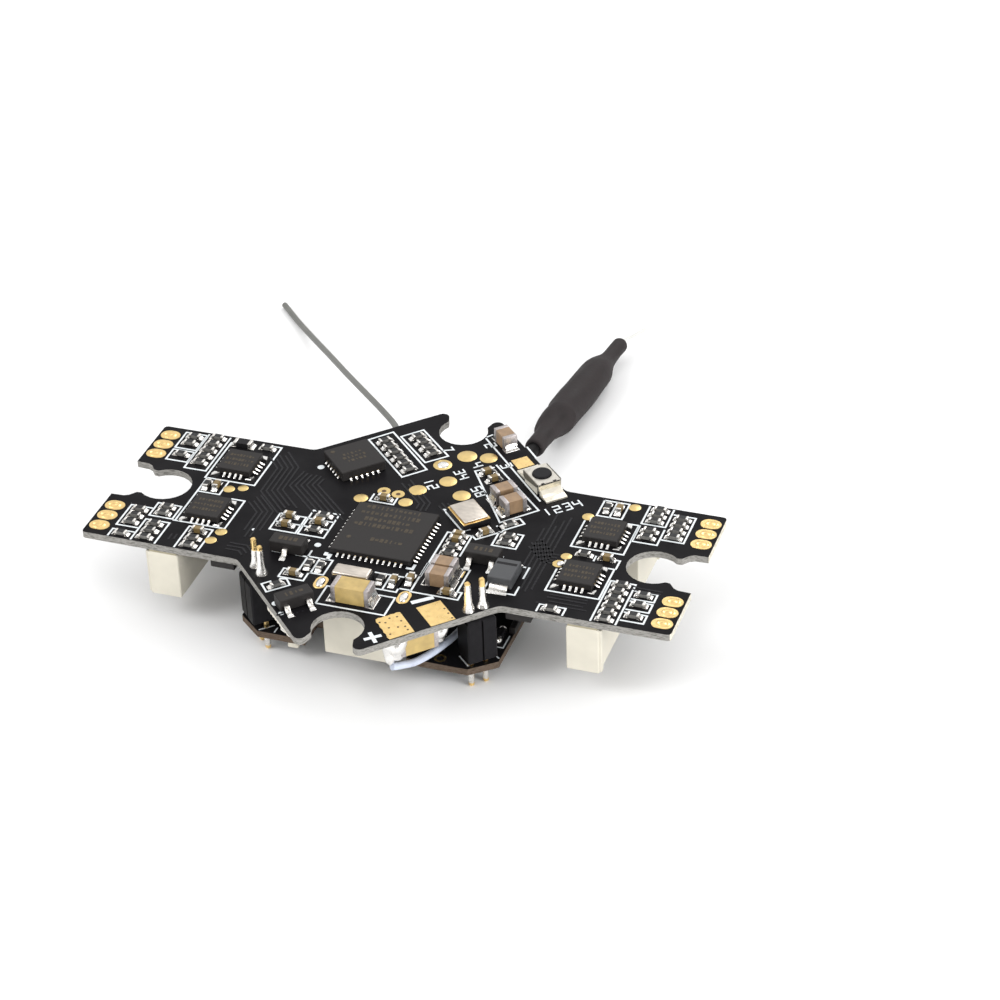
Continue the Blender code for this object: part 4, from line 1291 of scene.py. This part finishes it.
def silkscreen():
    arms = Piece("printed_lines_arms", "circuit_board")
    ink_lines(arms, ARM_LINES)
    arms.build()

    middle = Piece("printed_lines_middle", "circuit_board")
    ink_lines(middle, MIDDLE_LINES)
    # the plus beside the battery pads
    arm, half = 0.72, 0.16
    quarter = [(arm, -half), (arm, half), (half, half)]
    plus = [(x * c - y * s, x * s + y * c) for c, s in ((1, 0), (0, 1), (-1, 0), (0, -1))
            for x, y in quarter]
    middle.add(prism(plus, INK_HEIGHT), INK, spot(3.12, -15.27, TOP - SINK, 40))
    ink_lines(middle, PROCESSOR_MARKS)
    for x, y, radius in INK_DOTS:
        middle.add(disc(radius, INK_HEIGHT, 20), INK, spot(x, y, TOP - SINK))
    middle.build()

    labels = Piece("printed_numerals", "circuit_board")
    for label in LABELS:
        numerals(labels, *label)
    labels.build()


# ---------------------------------------------------------------- copper under the mask

# Bundles of tracks: the middle line, how many, and their pitch
TRACKS = (
    (((-9.8, 5.0), (-10.1, 3.1), (-5.2, -1.5)), 6, 0.42),
    (((-14.0, 7.0), (-12.4, 5.2), (-12.4, 1.6), (-9.6, -1.2)), 5, 0.42),
    (((-13.6, 0.4), (-11.7, -1.5), (-11.7, -5.4)), 4, 0.42),
    (((-13.0, -6.9), (-11.4, -6.9), (-10.6, -7.7)), 3, 0.45),
    (((12.1, 5.6), (12.1, -6.6)), 5, 0.42),
    (((10.9, 0.8), (12.9, -1.2), (13.7, -1.2)), 4, 0.42),
    (((-2.2, 6.2), (0.6, 3.4), (0.6, 2.2)), 3, 0.42),
    (((1.9, 3.9), (3.1, 2.7)), 3, 0.4),
    (((20.3, -3.1), (21.2, -3.3), (23.2, -3.3)), 2, 0.36),
    (((-17.6, -6.4), (-17.6, -7.6)), 2, 0.42),
    (((-3.4, -13.2), (-5.2, -15.0)), 2, 0.42),
    (((13.5, -7.0), (18.0, -7.0)), 2, 0.42),
    (((13.2, -6.1), (18.2, -6.1)), 2, 0.4))


def tracks():
    """Bundles of thin raised lines with ragged ends."""
    piece = Piece("masked_tracks", "circuit_board")
    for points, count, pitch in TRACKS:
        for k in range(count):
            offset = (k - (count - 1) / 2) * pitch
            moved = [Vector(point) for point in side_points(points, offset)]
            moved[0] = moved[0].lerp(moved[1], random.uniform(0.0, 0.3))
            moved[-1] = moved[-1].lerp(moved[-2], random.uniform(0.0, 0.3))
            line = strip([tuple(point) for point in moved], 0.17, 0.028)
            piece.add(line, TRACE, spot(0, 0, TOP - MARK_SINK))
    piece.build()


# ---------------------------------------------------------------- sockets and the underside

MOTOR_PITCH = 1.25          # between the contacts of a motor socket


def socket_fittings():
    for corner, side_sign, row_sign in CORNERS:
        node = "motor_socket_" + corner
        recoat(CREAM, node)
        (x0, y0, z0), (x1, y1, z1) = node_box(node)
        middle_x, middle_y = (x0 + x1) / 2, (y0 + y1) / 2
        contacts = Piece(node + "_contacts", "tinned_metal")
        for k in range(3):
            y = middle_y + (k - 1) * MOTOR_PITCH
            contacts.add(block(0.3, 0.3, 2.3, 0.05), GOLD, spot(middle_x, y, z1 - 3.2))
            contacts.add(block(0.9, 0.36, 0.14, 0.03), TIN,
                         spot(middle_x - side_sign * 1.75, y, z1 - 0.16))
        outer = x1 if side_sign > 0 else x0
        end_y = y1 if row_sign > 0 else y0
        rib_y = end_y - row_sign * 0.35
        contacts.add(block(0.34, 0.5, z1 - z0 - 0.35, 0.06), CREAM,
                     spot(outer + side_sign * 0.03, rib_y, z0 + 0.12))
        # a painted shadow line between the rib and the socket
        contacts.add(block(0.05, 0.07, 2.0), RIB_SHADOW_LINE, spot(outer, rib_y - row_sign * 0.34, z1 - 2.05))
        # painted shade: a darker band round the drawn-in top, where the board above shades it
        contacts.add(block(x1 - x0 - 0.26, 0.04, 0.22), CREAM_IN_SHADE,
                     spot(middle_x, end_y - row_sign * 0.09, z1 - 0.23))
        contacts.build()
    recoat(CREAM, "camera_socket")


def under_fittings():
    """What can be seen in the gap between the two boards, and on the lower board."""
    piece = Piece("between_the_boards", "tinned_metal")
    edge = spot(-5.15, -14.35, UNDER - 0.36, -44)
    piece.add(block(4.3, 0.3, 0.36, 0.05), TIN, edge)
    for k in range(9):
        piece.add(block(0.2, 0.36, 0.3, 0.04), CREAM_TIN, edge @ shift(0.46 * (k - 4), 0, 0))
    piece.add(block(0.7, 0.3, 0.5, 0.08), TIN, spot(-6.4, -11.0, 2.95, -30))
    piece.add(block(0.9, 0.5, 0.4, 0.06), CREAM, spot(-5.95, -10.35, LOWER_UNDER - 0.4))
    piece.add(tube_ring(0.5, 0.3, 0.03), GOLD, spot(6.48, -9.73, LOWER_TOP - 0.005))
    for y in (-6.3, -4.9):
        piece.add(lumpy(0.38, 0.4, 0.5), SOLDER, spot(10.1, y, LOWER_TOP))
    piece.add(block(0.7, 1.1, 0.5, 0.04), GLAZE, spot(10.1, -5.6, LOWER_TOP))
    piece.add(block(0.5, 1.6, 0.6, 0.05), MOULD, spot(10.95, -4.2, LOWER_TOP))
    piece.build()
    lines = Piece("printed_lines_lower", "circuit_board")
    routes = (((7.83, -8.99), (8.97, -10.06)), ((10.64, -8.15), (10.98, -8.39)),
              ((-8.98, -10.34), (-7.96, -9.4)), ((-7.63, -10.3), (-7.6, -9.64)),
              ((10.3, -7.0), (10.85, -7.0), (10.85, -5.3)))
    ink_lines(lines, [path(*points, width=0.12) for points in routes], LOWER_TOP)
    lines.build()


def coat_the_rest():
    recoat(MASK_BLACK, "main_board")
    recoat(LOWER_MASK, "transmitter_board")
    recoat(SHELL, "usb_socket", "shield_can")
    recoat(MOULD, *(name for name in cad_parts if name.startswith("power_transistor")))


chips()
small_parts()
large_parts()
crystals()
button()
motor_pads()
pads()
header_solder()
silkscreen()
tracks()
socket_fittings()
under_fittings()
coat_the_rest()
